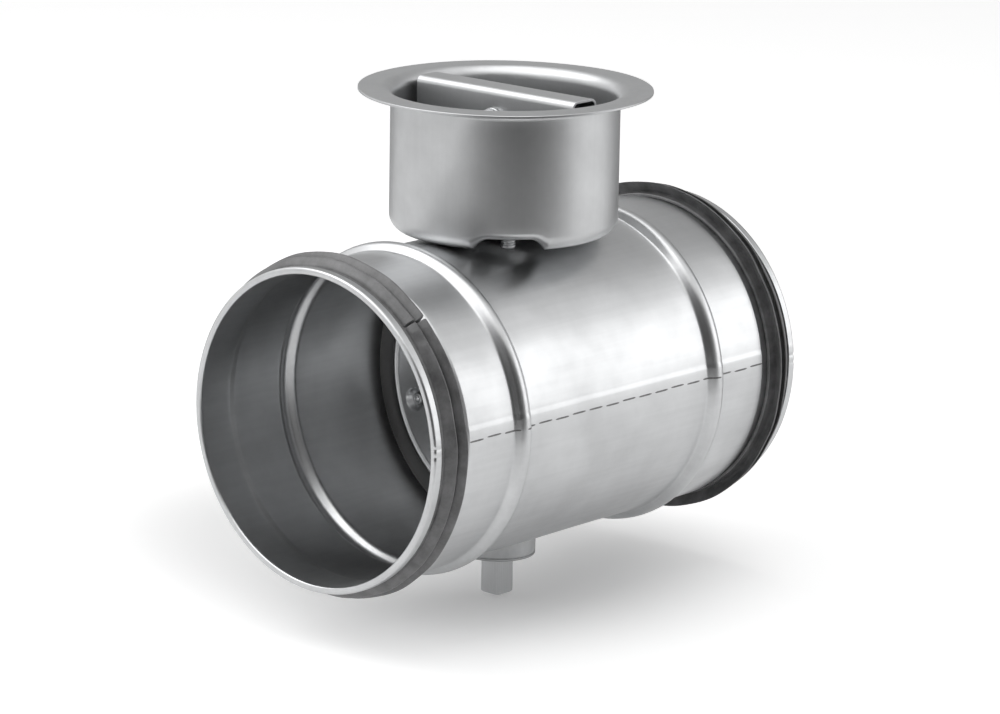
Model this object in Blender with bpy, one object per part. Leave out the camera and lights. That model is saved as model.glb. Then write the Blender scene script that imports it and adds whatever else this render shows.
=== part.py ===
"""Round duct damper: a beaded steel tube with lip gaskets, a closing blade on a
square shaft, and a drawn cup that sinks the handle into the pipe insulation.

The origin lies where the shaft's axis crosses the duct's axis. X runs along the
duct, Z up the shaft to the handle. Lengths are in metres.
"""
import math

import bmesh
import bpy
from mathutils import Matrix

# Fits shared by all pieces
SEAT_GAP = 0.0003            # between two pieces that touch
RUNNING_GAP = 0.0003         # between a turning piece and what it turns in
OVERRUN = 0.004              # how far a cutter reaches past what it cuts
WELD = 0.000001              # points this close are one

# Tube
BODY_RADIUS = 0.0620         # outside, for a 125 mm duct line
TUBE_SHEET = 0.0007
HALF_LENGTH = 0.1062         # centre to rim
BEAD_HEIGHT = 0.0031
BEAD_HALF_WIDTH = 0.0054
BEAD_INSET = 0.0494          # rim to the bead's crest
NECK_DEPTH = 0.0013          # how far the gasket seat is swaged down
NECK_MARGIN = 0.0006         # gasket's inner edge to the foot of the step
STEP_LENGTH = 0.0044
HEM_REACH = 0.0038           # how far the hem turns back over the gasket

# Gasket, a double lip strip
GASKET_BASE = 0.0008         # the tongue held in the hem
GASKET_BODY = 0.0015
LIP_THICKNESS = 0.0011
LOW_LIP_HEIGHT = 0.0046      # above the gasket seat
HIGH_LIP_HEIGHT = 0.0057
LOW_LIP_SPACING = 0.0048     # hem's edge to the low lip's tip
HIGH_LIP_SPACING = 0.0048    # low lip's tip to the high lip's tip
LIP_MARGIN = 0.0018          # high lip's tip to the strip's inner edge
LIP_LEAN = 0.0024            # how far a tip leans back from its root

# Cup
CUP_RADIUS = 0.0446
CUP_SHEET = 0.0010
CUP_HEIGHT = 0.0560          # underside to the top of the flange
CUP_CORNER = 0.0060
FLANGE_WIDTH = 0.0132        # cup's wall to the flange's edge
FLARE_RADIUS = 0.0050
PLATFORM_HEIGHT = 0.0048     # the pressed notch that carries the lock screw
PLATFORM_TOP = 0.0183
PLATFORM_FOOT = 0.0280
PLATFORM_MARGIN = 0.0028     # bearing's flange to the foot of the inner ramp
PLATFORM_RAMP = 0.0048
PLATFORM_FADE = 0.0180       # height over which the wall recovers its form
LOCK_ANGLE = math.radians(225)
LOCK_INSET = 0.0106          # cup's bore to the lock screw

# Shaft, bearings and sleeves
SHAFT_SIDE = 0.0100
SHAFT_CHAMFER = 0.0012
SHAFT_REACH = 0.0163         # lower boss to the shaft's free end
SLEEVE_WALL = 0.0006         # over the corners of the square
SLEEVE_REACH = 0.0006        # how far the lower sleeve shows below its boss
SHOULDER_RIM = 0.0032        # how far the upper sleeve's shoulder stands out
SHOULDER_START = 0.0004      # above the upper bearing's flange
BEARING_WALL = 0.0020
BEARING_RIM = 0.0054         # how far flange and boss stand out past the shank
BEARING_EDGE = 0.0006
UPPER_FLANGE_THICKNESS = 0.0025
BOSS_DEPTH = 0.0066          # tube's underside to the lower boss's face

# Blade
BLADE_SHEET = 0.0010
SEAL_WIDTH = 0.0065          # disc's edge to the seal's edge
SEAL_GRIP = 0.0043           # how far the discs lap over the seal
SEAL_HALF_THICKNESS = 0.0017
SEAL_LIP_HALF_THICKNESS = 0.0008
SEAL_COLLAR_WALL = 0.0016    # over the corners of the square
RIVET_PITCH = math.radians(36)    # round the blade, the shaft takes two of the ten places
RIVETS_EACH_SIDE = 4
DIMPLE_RADIUS = 0.0049
DIMPLE_FLOOR = 0.0028
EYELET_RADIUS = 0.0016
EYELET_BORE = 0.0010
EYELET_HEAD = 0.0024
EYELET_HEAD_THICKNESS = 0.0006
BLADE_SCREW_SHARE = 0.55     # duct axis to a blade screw, of the disc's radius

# Handle and lock
HANDLE_SHEET = 0.0015
HANDLE_END_GAP = 0.0031      # cup's bore to the handle's end
HANDLE_SINK = 0.0004         # top plate below the flange's top
HANDLE_BEND = 0.0023
HANDLE_SCREW_DROP = 0.0118   # top plate to the cross screw
PLATE_SHEET = 0.0015
PLATE_HUB_WIDTH = 0.0093     # over the corners of the square
PLATE_MARGIN = 0.0065        # lock screw to the plate's edge
TRAVEL = math.radians(90)

# Fasteners
SCREW_RADIUS = 0.0025
SCREW_HEAD_RADIUS = 0.0046
SCREW_HEAD_THICKNESS = 0.0028
WASHER_RADIUS = 0.0050
WASHER_THICKNESS = 0.0010
NUT_FLATS = 0.0080
NUT_THICKNESS = 0.0040
SCREW_TAIL = 0.0010          # screw end beyond its nut
LOCK_SCREW_RADIUS = 0.0030
LOCK_FLATS = 0.0100
LOCK_NUT_THICKNESS = 0.0046
LOCK_WASHER_RADIUS = 0.0062
LOCK_WASHER_THICKNESS = 0.0012
LOCK_HEAD_THICKNESS = 0.0040
LOCK_TAIL = 0.0045           # lock screw's end below the platform
CUP_RIVET_RADIUS = 0.0016
CUP_RIVET_HEAD = 0.0033
CUP_RIVET_HEAD_HEIGHT = 0.0012
CUP_RIVET_TAIL = 0.0023
CUP_RIVET_TAIL_LENGTH = 0.0022
CUP_RIVET_SHARES = (0.30, 0.78)  # of the way from the bearing's flange to the cup's corner

# Facets around each form
TUBE_FACETS = 36
CUP_FACET = math.radians(10)
PLATFORM_WINDOW = math.radians(40)   # each side of the platform's middle
PLATFORM_FACET = math.radians(5)
BEARING_FACETS = 24
SCREW_FACETS = 12
RIVET_FACETS = 8
BEAD_FACETS = 6
ARC_FACETS = 3
NOSE_FACETS = 2
HEXAGON = 6

# Places that follow from the sizes above
TUBE_BORE = BODY_RADIUS - TUBE_SHEET
NECK_RADIUS = BODY_RADIUS - NECK_DEPTH
NECK_BORE = NECK_RADIUS - TUBE_SHEET
HEM_GAP = GASKET_BASE + 2 * SEAT_GAP
HEM_RADIUS = NECK_RADIUS + HEM_GAP + TUBE_SHEET
HEM_NOSE = (HEM_RADIUS - NECK_BORE) / 2
BEAD_X = HALF_LENGTH - BEAD_INSET
LOW_LIP_TIP = HEM_REACH + LOW_LIP_SPACING
HIGH_LIP_TIP = LOW_LIP_TIP + HIGH_LIP_SPACING
GASKET_LENGTH = HIGH_LIP_TIP + LIP_MARGIN
NECK_LENGTH = GASKET_LENGTH + NECK_MARGIN

SHAFT_HALF = SHAFT_SIDE / 2
SOCKET_HALF = SHAFT_HALF + SEAT_GAP
SOCKET_CORNER = math.hypot(SOCKET_HALF, SOCKET_HALF - SHAFT_CHAMFER)
SLEEVE_RADIUS = SOCKET_CORNER + SLEEVE_WALL
SHOULDER_RADIUS = SLEEVE_RADIUS + SHOULDER_RIM
BEARING_BORE = SLEEVE_RADIUS + RUNNING_GAP
BEARING_SHANK = BEARING_BORE + BEARING_WALL
BEARING_FLANGE = BEARING_SHANK + BEARING_RIM
SHANK_HOLE = BEARING_SHANK + SEAT_GAP
SHANK_END = math.sqrt(TUBE_BORE ** 2 - BEARING_SHANK ** 2)
LOWER_BOSS_DROP = BODY_RADIUS + BOSS_DEPTH
SHAFT_DROP = LOWER_BOSS_DROP + SHAFT_REACH

CUP_BOTTOM = BODY_RADIUS + SEAT_GAP
CUP_FLOOR = CUP_BOTTOM + CUP_SHEET
CUP_TOP = CUP_BOTTOM + CUP_HEIGHT
CUP_BORE = CUP_RADIUS - CUP_SHEET
FLANGE_RADIUS = CUP_RADIUS + FLANGE_WIDTH
PLATFORM_START = BEARING_FLANGE + PLATFORM_MARGIN
LOCK_RADIUS = CUP_BORE - LOCK_INSET
LOCK_X = LOCK_RADIUS * math.cos(LOCK_ANGLE)
LOCK_Y = LOCK_RADIUS * math.sin(LOCK_ANGLE)
PLATFORM_UNDER = CUP_BOTTOM + PLATFORM_HEIGHT
UPPER_FLANGE_BASE = CUP_FLOOR + SEAT_GAP
UPPER_FLANGE_TOP = UPPER_FLANGE_BASE + UPPER_FLANGE_THICKNESS

LOCK_NUT_BASE = PLATFORM_UNDER + CUP_SHEET + SEAT_GAP
PLATE_BASE = LOCK_NUT_BASE + LOCK_NUT_THICKNESS + RUNNING_GAP
PLATE_TOP = PLATE_BASE + PLATE_SHEET
PLATE_HUB = SOCKET_CORNER + PLATE_HUB_WIDTH
PLATE_RADIUS = LOCK_RADIUS + PLATE_MARGIN
HANDLE_LENGTH = 2 * (CUP_BORE - HANDLE_END_GAP)
HANDLE_TOP = CUP_TOP - HANDLE_SINK
HANDLE_BASE = PLATE_TOP + SEAT_GAP
HANDLE_HALF_WIDTH = SOCKET_HALF + HANDLE_SHEET
SHAFT_TOP = HANDLE_TOP - HANDLE_SHEET - SEAT_GAP
HANDLE_SCREW_Z = HANDLE_TOP - HANDLE_SCREW_DROP

SCREW_HOLE = SCREW_RADIUS + SEAT_GAP
LOCK_HOLE = LOCK_SCREW_RADIUS + SEAT_GAP

SEAL_RADIUS = TUBE_BORE - RUNNING_GAP
SEAL_FLAT = SHANK_END - RUNNING_GAP
SEAL_COLLAR_RADIUS = SOCKET_CORNER + SEAL_COLLAR_WALL
DISC_RADIUS = SEAL_RADIUS - SEAL_WIDTH
SEAL_INNER_RADIUS = DISC_RADIUS - SEAL_GRIP
RIVET_CIRCLE = SEAL_INNER_RADIUS - DIMPLE_RADIUS - SEAT_GAP
BLADE_SCREW_HEIGHT = DISC_RADIUS * BLADE_SCREW_SHARE
DISC_INNER_FACE = SEAL_HALF_THICKNESS + SEAT_GAP
DISC_OUTER_FACE = DISC_INNER_FACE + BLADE_SHEET
CHANNEL_OUTER_FACE = SOCKET_HALF + BLADE_SHEET
DIMPLE_DEPTH = DISC_INNER_FACE - SEAT_GAP / 2


def plain_material(name, grey, roughness, metallic):
    """A grey finish, as dark, rough and metallic as the piece's stock."""
    material = bpy.data.materials.new(name)
    material.use_nodes = True
    shader = material.node_tree.nodes["Principled BSDF"]
    shader.inputs["Base Color"].default_value = (grey, grey, grey, 1)
    shader.inputs["Roughness"].default_value = roughness
    shader.inputs["Metallic"].default_value = metallic
    return material


def place(name, shape, material, parent):
    """Put a finished shape into the scene as a named sub-part."""
    bmesh.ops.remove_doubles(shape, verts=shape.verts, dist=WELD)
    bmesh.ops.recalc_face_normals(shape, faces=shape.faces)
    mesh = bpy.data.meshes.new(name)
    shape.to_mesh(mesh)
    shape.free()
    mesh.materials.append(material)
    mesh.shade_smooth()
    mesh.set_sharp_from_angle(angle=math.radians(30))
    piece = bpy.data.objects.new(name, mesh)
    piece.parent = parent
    bpy.context.collection.objects.link(piece)
    return piece


def carve(piece, shape, operation="DIFFERENCE"):
    """Cut a shape out of a piece, or join it on, and keep the shape as a guide."""
    bmesh.ops.recalc_face_normals(shape, faces=shape.faces)
    name = piece.name + "_" + operation.lower() + "_" + str(len(piece.modifiers))
    mesh = bpy.data.meshes.new(name)
    shape.to_mesh(mesh)
    shape.free()
    guide = bpy.data.objects.new(name, mesh)
    guide.hide_render = True
    guide.display_type = "WIRE"
    bpy.context.collection.objects.link(guide)
    modifier = piece.modifiers.new(name, "BOOLEAN")
    modifier.operation = operation
    modifier.solver = "EXACT"
    modifier.object = guide


def arc(centre, radius, start, end, facets=ARC_FACETS):
    """Points along an arc in a plane, from one angle to the other, in degrees."""
    points = []
    for step in range(facets + 1):
        angle = math.radians(start + (end - start) * step / facets)
        points.append((centre[0] + radius * math.cos(angle),
                       centre[1] + radius * math.sin(angle)))
    return points


def loft(shape, rings, capped):
    """Skin rings of equal length in order; the ends are capped, or meet."""
    skinned = [[shape.verts.new(point) for point in ring] for ring in rings]
    follow = skinned[1:] if capped else skinned[1:] + skinned[:1]
    for ring, after in zip(skinned, follow):
        for index, vertex in enumerate(ring):
            beside = index + 1 if index + 1 < len(ring) else 0
            shape.faces.new((vertex, ring[beside], after[beside], after[index]))
    if capped:
        shape.faces.new(skinned[0][::-1])
        shape.faces.new(skinned[-1])


def turned_ring(profile, facets, axis="Z"):
    """Turn a closed profile of (radius, height) points round an axis it misses."""
    shape = bmesh.new()
    rings = []
    for step in range(facets):
        angle = math.tau * step / facets
        across, up = math.cos(angle), math.sin(angle)
        rings.append([(radius * across, radius * up, height) for radius, height in profile])
    loft(shape, rings, capped=False)
    if axis == "X":
        bmesh.ops.rotate(shape, verts=shape.verts, matrix=Matrix.Rotation(math.radians(90), 3, "Y"))
    return shape


def turned_solid(profile, facets, axis="Z"):
    """Turn an open profile of (radius, height) points into a solid with flat ends."""
    shape = bmesh.new()
    rings = []
    for radius, height in profile:
        ring = []
        for step in range(facets):
            angle = math.tau * step / facets
            ring.append((radius * math.cos(angle), radius * math.sin(angle), height))
        rings.append(ring)
    loft(shape, rings, capped=True)
    if axis == "X":
        bmesh.ops.rotate(shape, verts=shape.verts, matrix=Matrix.Rotation(math.radians(90), 3, "Y"))
    return shape


def prism(outline, low, high):
    """A flat outline in X and Y, drawn out from one height to another."""
    shape = bmesh.new()
    loft(shape, [[(x, y, height) for x, y in outline] for height in (low, high)], capped=True)
    return shape


def moved(shape, x=0.0, y=0.0, z=0.0):
    """The same shape at another place."""
    bmesh.ops.translate(shape, verts=shape.verts, vec=(x, y, z))
    return shape


def gathered(shapes):
    """Several shapes in one mesh, each still its own body."""
    whole = bmesh.new()
    for shape in shapes:
        mesh = bpy.data.meshes.new("gathered")
        shape.to_mesh(mesh)
        shape.free()
        whole.from_mesh(mesh)
        bpy.data.meshes.remove(mesh)
    return whole


def square_outline(half, chamfer):
    """A square with its corners taken off."""
    inset = half - chamfer
    corners = [(half, inset), (inset, half), (-inset, half), (-half, inset)]
    return corners + [(-x, -y) for x, y in corners]


def hexagon_outline(flats, turn):
    """A hexagon of a given width across flats, with a flat facing the turn angle."""
    corner = flats / 2 / math.cos(math.pi / HEXAGON)
    outline = []
    for step in range(HEXAGON):
        angle = turn + math.pi / HEXAGON + math.tau * step / HEXAGON
        outline.append((corner * math.cos(angle), corner * math.sin(angle)))
    return outline


def drilled(radius, low, high, x=0.0, y=0.0, facets=SCREW_FACETS):
    """A round cutter along Z."""
    return moved(turned_solid([(radius, low), (radius, high)], facets), x, y)


def drilled_across(radius, half_length, z, facets=SCREW_FACETS):
    """A round cutter along X."""
    cutter = turned_solid([(radius, -half_length), (radius, half_length)], facets, "X")
    return moved(cutter, z=z)


def tube_section():
    """Closed wall section (radius, x): hemmed rims, swaged seats and stop beads."""
    outer = []
    for step in range(BEAD_FACETS + 1):
        share = step / BEAD_FACETS
        rise = BEAD_HEIGHT * (1 - math.cos(math.tau * share)) / 2
        outer.append((BODY_RADIUS + rise, BEAD_X + BEAD_HALF_WIDTH * (2 * share - 1)))
    inner = [(radius - TUBE_SHEET, x) for radius, x in reversed(outer)]
    step_foot = HALF_LENGTH - NECK_LENGTH
    nose = (NECK_BORE + HEM_NOSE, HALF_LENGTH - HEM_NOSE)
    lip_end = HALF_LENGTH - HEM_REACH
    half = outer
    half += [(BODY_RADIUS, step_foot - STEP_LENGTH), (NECK_RADIUS, step_foot)]
    half += arc(nose, HEM_GAP / 2, 180, 0, NOSE_FACETS)
    half += [(HEM_RADIUS - TUBE_SHEET, lip_end), (HEM_RADIUS, lip_end)]
    half += arc(nose, HEM_NOSE, 0, 180, 2 * NOSE_FACETS)
    half += [(NECK_BORE, step_foot), (TUBE_BORE, step_foot - STEP_LENGTH)]
    half += inner
    return half + [(radius, -x) for radius, x in reversed(half)]


def make_housing(steel, body):
    """Rolled and seam-welded tube with the holes for bearings and cup rivets."""
    housing = place("housing", turned_ring(tube_section(), TUBE_FACETS, "X"), steel, body)
    above = BODY_RADIUS + OVERRUN
    below = SHANK_END - OVERRUN
    holes = [drilled(SHANK_HOLE, below, above, facets=BEARING_FACETS),
             drilled(SHANK_HOLE, -above, -below, facets=BEARING_FACETS)]
    for x in cup_rivet_places():
        holes.append(drilled(CUP_RIVET_RADIUS + SEAT_GAP, below, above, x, facets=RIVET_FACETS))
    carve(housing, gathered(holes))


def gasket_section():
    """Closed section (radius, distance from the rim) of the double lip strip."""
    base = NECK_RADIUS + SEAT_GAP
    body = base + GASKET_BODY
    tongue_end = HEM_REACH + SEAT_GAP
    section = [(base, GASKET_LENGTH), (base, HEM_NOSE), (base + GASKET_BASE, HEM_NOSE),
               (base + GASKET_BASE, tongue_end), (body, tongue_end)]
    for tip, height in ((LOW_LIP_TIP, LOW_LIP_HEIGHT), (HIGH_LIP_TIP, HIGH_LIP_HEIGHT)):
        crest = base + height
        root = tip - LIP_LEAN
        section += [(body, root - LIP_THICKNESS), (crest, tip - LIP_THICKNESS / 2),
                    (crest - LIP_THICKNESS / 2, tip + LIP_THICKNESS / 2), (body, root + LIP_THICKNESS)]
    return section


def make_gaskets(rubber, body):
    """One strip round each rim, its tongue caught under the hem."""
    for name, side in (("gasket_inlet", -1), ("gasket_outlet", 1)):
        profile = [(radius, side * (HALF_LENGTH - inset)) for radius, inset in gasket_section()]
        place(name, turned_ring(profile, TUBE_FACETS, "X"), rubber, body)


def cup_rivet_places():
    """Rivets on the crown line, two each side of the shaft."""
    stretch = CUP_RADIUS - CUP_CORNER - BEARING_FLANGE
    near, far = [BEARING_FLANGE + stretch * share for share in CUP_RIVET_SHARES]
    return (-far, -near, near, far)


def cup_section():
    """Closed wall section (radius, height) of the drawn cup, hole edge to flange."""
    corner_start = CUP_RADIUS - CUP_CORNER
    corner_top = CUP_BOTTOM + CUP_CORNER
    ramp_end = PLATFORM_START + PLATFORM_RAMP
    flare = (CUP_BORE + FLARE_RADIUS, CUP_TOP - FLARE_RADIUS)
    fade = CUP_BOTTOM + PLATFORM_FADE
    under = [(SHANK_HOLE, CUP_BOTTOM), (PLATFORM_START, CUP_BOTTOM), (ramp_end, CUP_BOTTOM)]
    under += arc((corner_start, corner_top), CUP_CORNER, -90, 0)
    under += [(CUP_RADIUS, fade)]
    under += arc(flare, FLARE_RADIUS - CUP_SHEET, 180, 90)
    under += [(FLANGE_RADIUS, CUP_TOP - CUP_SHEET), (FLANGE_RADIUS, CUP_TOP)]
    over = arc(flare, FLARE_RADIUS, 90, 180)
    over += [(CUP_BORE, fade)]
    over += arc((corner_start, corner_top), CUP_CORNER - CUP_SHEET, 0, -90)
    over += [(ramp_end, CUP_FLOOR), (PLATFORM_START, CUP_FLOOR), (SHANK_HOLE, CUP_FLOOR)]
    return under + over


def platform_rise(x, y, height):
    """How far the platform lifts a point of the cup's bottom, corner or low wall."""
    along = x * math.cos(LOCK_ANGLE) + y * math.sin(LOCK_ANGLE)
    across = abs(y * math.cos(LOCK_ANGLE) - x * math.sin(LOCK_ANGLE))
    side = (PLATFORM_FOOT / 2 - across) / ((PLATFORM_FOOT - PLATFORM_TOP) / 2)
    ramp = (along - PLATFORM_START) / PLATFORM_RAMP
    fade = 1 - (height - CUP_BOTTOM) / PLATFORM_FADE
    shares = [min(max(share, 0), 1) for share in (side, ramp, fade)]
    return PLATFORM_HEIGHT * math.prod(shares)


def cup_angles():
    """Angles round the cup, closer together where the platform is."""
    fine_span = 2 * PLATFORM_WINDOW
    coarse_span = math.tau - fine_span
    fine, coarse = round(fine_span / PLATFORM_FACET), round(coarse_span / CUP_FACET)
    start, end = LOCK_ANGLE - PLATFORM_WINDOW, LOCK_ANGLE + PLATFORM_WINDOW
    angles = [start + fine_span * step / fine for step in range(fine)]
    angles += [end + coarse_span * step / coarse for step in range(coarse)]
    return angles


def make_cup(steel, body):
    """Deep drawn cup with a turned out flange, riveted on the tube's crown."""
    shape = bmesh.new()
    rings = []
    for angle in cup_angles():
        ring = []
        for radius, height in cup_section():
            x, y = radius * math.cos(angle), radius * math.sin(angle)
            ring.append((x, y, height + platform_rise(x, y, height)))
        rings.append(ring)
    loft(shape, rings, capped=False)
    cup = place("cup", shape, steel, body)
    low, high = CUP_BOTTOM - OVERRUN, LOCK_NUT_BASE + OVERRUN
    holes = [drilled(LOCK_HOLE, low, high, LOCK_X, LOCK_Y)]
    for x in cup_rivet_places():
        holes.append(drilled(CUP_RIVET_RADIUS + SEAT_GAP, low, high, x, facets=RIVET_FACETS))
    carve(cup, gathered(holes))


def make_cup_rivets(steel, body):
    """Blind rivets, domed inside the cup and set inside the tube."""
    head_base = CUP_FLOOR + SEAT_GAP
    tail_top = TUBE_BORE - SEAT_GAP
    tail_end = tail_top - CUP_RIVET_TAIL_LENGTH
    dome_shoulder = head_base + CUP_RIVET_HEAD_HEIGHT / 2
    profile = [(CUP_RIVET_RADIUS, tail_end), (CUP_RIVET_TAIL, tail_end + CUP_RIVET_TAIL_LENGTH / 3),
               (CUP_RIVET_TAIL, tail_top), (CUP_RIVET_RADIUS, tail_top),
               (CUP_RIVET_RADIUS, head_base), (CUP_RIVET_HEAD, head_base),
               (CUP_RIVET_HEAD * 3 / 4, dome_shoulder), (CUP_RIVET_HEAD / 4, head_base + CUP_RIVET_HEAD_HEIGHT)]
    for number, x in enumerate(cup_rivet_places(), 1):
        rivet = moved(turned_solid(profile, RIVET_FACETS), x)
        place("cup_rivet_" + str(number), rivet, steel, body)


def make_bearings(cast, body):
    """A flanged bush under the cup's floor, and a boss saddled on the tube below."""
    upper = [(BEARING_BORE, SHANK_END), (BEARING_SHANK, SHANK_END),
             (BEARING_SHANK, UPPER_FLANGE_BASE), (BEARING_FLANGE, UPPER_FLANGE_BASE),
             (BEARING_FLANGE, UPPER_FLANGE_TOP - BEARING_EDGE),
             (BEARING_FLANGE - BEARING_EDGE, UPPER_FLANGE_TOP), (BEARING_BORE, UPPER_FLANGE_TOP)]
    place("upper_bearing", turned_ring(upper, BEARING_FACETS), cast, body)

    saddle_top = math.sqrt(BODY_RADIUS ** 2 - BEARING_FLANGE ** 2) - OVERRUN
    boss = [(BEARING_FLANGE - BEARING_EDGE, -LOWER_BOSS_DROP),
            (BEARING_FLANGE, BEARING_EDGE - LOWER_BOSS_DROP), (BEARING_FLANGE, -saddle_top)]
    lower = place("lower_bearing", turned_solid(boss, BEARING_FACETS), cast, body)
    saddle = BODY_RADIUS + SEAT_GAP
    reach = BEARING_FLANGE + OVERRUN
    carve(lower, turned_solid([(saddle, -reach), (saddle, reach)], 2 * TUBE_FACETS, "X"))
    shank_start = (LOWER_BOSS_DROP + BODY_RADIUS) / 2
    carve(lower, drilled(BEARING_SHANK, -shank_start, -SHANK_END, facets=BEARING_FACETS), "UNION")
    bore_end = LOWER_BOSS_DROP + OVERRUN
    carve(lower, drilled(BEARING_BORE, -bore_end, OVERRUN - SHANK_END, facets=BEARING_FACETS))


def make_sleeves(nylon, body):
    """Nylon sleeves that turn with the square shaft in the round bearings."""
    shoulder = UPPER_FLANGE_TOP + SHOULDER_START
    upper = [(SLEEVE_RADIUS, SHANK_END), (SLEEVE_RADIUS, shoulder), (SHOULDER_RADIUS, shoulder),
             (SHOULDER_RADIUS, PLATE_BASE - SEAT_GAP)]
    lower = [(SLEEVE_RADIUS, -LOWER_BOSS_DROP - SLEEVE_REACH), (SLEEVE_RADIUS, -SHANK_END)]
    for name, profile in (("upper_sleeve", upper), ("lower_sleeve", lower)):
        sleeve = place(name, turned_solid(profile, BEARING_FACETS), nylon, body)
        socket = prism(square_outline(SOCKET_HALF, SHAFT_CHAMFER),
                       profile[0][1] - OVERRUN, profile[-1][1] + OVERRUN)
        carve(sleeve, socket)


def make_shaft(steel, body):
    """Square bar, drilled across for the handle screw and the blade screws."""
    shaft = place("shaft", prism(square_outline(SHAFT_HALF, SHAFT_CHAMFER), -SHAFT_DROP, SHAFT_TOP),
                  steel, body)
    heights = (HANDLE_SCREW_Z, BLADE_SCREW_HEIGHT, -BLADE_SCREW_HEIGHT)
    carve(shaft, gathered([drilled_across(SCREW_HOLE, SHAFT_SIDE, z) for z in heights]))


def make_blade_seal(rubber, body):
    """Rubber ring held between the discs, with a collar round the shaft at each end."""
    lip_root = DISC_RADIUS + BLADE_SHEET
    half = [(SEAL_INNER_RADIUS, SEAL_HALF_THICKNESS), (lip_root, SEAL_HALF_THICKNESS),
            (SEAL_RADIUS, SEAL_LIP_HALF_THICKNESS)]
    ring = half + [(radius, -x) for radius, x in reversed(half)]
    seal = place("blade_seal", turned_ring(ring, TUBE_FACETS, "X"), rubber, body)
    collar_start = DISC_RADIUS + SEAT_GAP
    past = SEAL_FLAT + OVERRUN
    collars = [drilled(SEAL_COLLAR_RADIUS, low, high)
               for low, high in ((collar_start, past), (-past, -collar_start))]
    carve(seal, gathered(collars), "UNION")
    window = [(-BODY_RADIUS, -BODY_RADIUS), (BODY_RADIUS, -BODY_RADIUS),
              (BODY_RADIUS, BODY_RADIUS), (-BODY_RADIUS, BODY_RADIUS)]
    beyond = past + OVERRUN
    carve(seal, gathered([prism(window, SEAL_FLAT, beyond), prism(window, -beyond, -SEAL_FLAT)]))
    socket = square_outline(SOCKET_HALF, SHAFT_CHAMFER)
    carve(seal, prism(socket, -past, past))


def rivet_angles():
    """Eyelets on a circle, none of them on the shaft."""
    first = RIVET_PITCH * (1 - RIVETS_EACH_SIDE) / 2
    one_side = [first + RIVET_PITCH * step for step in range(RIVETS_EACH_SIDE)]
    return one_side + [math.pi + angle for angle in one_side]


def on_rivet_circle(shape, angle):
    """A shape along X, moved to its place on the eyelets' circle."""
    return moved(shape, y=RIVET_CIRCLE * math.cos(angle), z=RIVET_CIRCLE * math.sin(angle))


def disc_outline(side):
    """Section across the blade (x, y): a flat sheet with a channel for the shaft."""
    bend = BLADE_SHEET * math.tan(math.radians(22.5))
    inner_foot = SOCKET_HALF + SOCKET_HALF - DISC_INNER_FACE
    edge = DISC_RADIUS + OVERRUN
    inner = [(DISC_INNER_FACE, edge), (DISC_INNER_FACE, inner_foot), (SOCKET_HALF, SOCKET_HALF)]
    outer = [(CHANNEL_OUTER_FACE, SOCKET_HALF + bend), (DISC_OUTER_FACE, inner_foot + bend),
             (DISC_OUTER_FACE, edge)]
    outline = inner + [(x, -y) for x, y in reversed(inner)] + [(x, -y) for x, y in reversed(outer)] + outer
    return [(side * x, y) for x, y in outline]


def make_discs(steel, body):
    """Two pressed discs that clamp the seal and close round the shaft."""
    half_width = CHANNEL_OUTER_FACE + OVERRUN
    half_height = DISC_RADIUS + OVERRUN
    boss_base = (DISC_INNER_FACE + DISC_OUTER_FACE) / 2
    boss_end = DISC_INNER_FACE - DIMPLE_DEPTH
    floor = boss_end + BLADE_SHEET
    for name, side in (("blade_disc_front", -1), ("blade_disc_rear", 1)):
        disc = place(name, prism(disc_outline(side), -half_height, half_height), steel, body)
        rim = turned_solid([(DISC_RADIUS, -half_width), (DISC_RADIUS, half_width)], TUBE_FACETS, "X")
        carve(disc, rim, "INTERSECT")
        bosses, pockets, holes = [], [], []
        for angle in rivet_angles():
            boss = [(DIMPLE_RADIUS, side * boss_base), (DIMPLE_FLOOR, side * boss_end)]
            slope = (DIMPLE_RADIUS - DIMPLE_FLOOR) / (DISC_OUTER_FACE - floor)
            mouth = DISC_OUTER_FACE + OVERRUN
            pocket = [(DIMPLE_FLOOR + slope * (mouth - floor), side * mouth), (DIMPLE_FLOOR, side * floor)]
            hole = [(EYELET_RADIUS + SEAT_GAP, -mouth), (EYELET_RADIUS + SEAT_GAP, mouth)]
            bosses.append(on_rivet_circle(turned_solid(boss, RIVET_FACETS, "X"), angle))
            pockets.append(on_rivet_circle(turned_solid(pocket, RIVET_FACETS, "X"), angle))
            holes.append(on_rivet_circle(turned_solid(hole, RIVET_FACETS, "X"), angle))
        for z in (BLADE_SCREW_HEIGHT, -BLADE_SCREW_HEIGHT):
            holes.append(drilled_across(SCREW_HOLE, half_width, z))
        carve(disc, gathered(bosses), "UNION")
        carve(disc, gathered(pockets))
        carve(disc, gathered(holes))


def make_eyelets(steel, body):
    """Tubular rivets, set in the dimples where the two discs meet."""
    floor = DISC_INNER_FACE - DIMPLE_DEPTH + BLADE_SHEET
    head = floor + SEAT_GAP
    face = head + EYELET_HEAD_THICKNESS
    half = [(EYELET_RADIUS, head), (EYELET_HEAD, head), (EYELET_BORE, face)]
    profile = half + [(radius, -x) for radius, x in reversed(half)]
    for number, angle in enumerate(rivet_angles(), 1):
        eyelet = on_rivet_circle(turned_ring(profile, RIVET_FACETS, "X"), angle)
        place("blade_rivet_" + str(number), eyelet, steel, body)


def cross_screw(head_face, end):
    """Round headed screw along X, its head outside a face at -X."""
    base = -head_face - SEAT_GAP
    crown = base - SCREW_HEAD_THICKNESS
    shoulder = base - SCREW_HEAD_THICKNESS / 2
    profile = [(SCREW_HEAD_RADIUS * 2 / 3, crown), (SCREW_HEAD_RADIUS, shoulder), (SCREW_HEAD_RADIUS, base),
               (SCREW_RADIUS, base), (SCREW_RADIUS, end)]
    return turned_solid(profile, SCREW_FACETS, "X")


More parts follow.
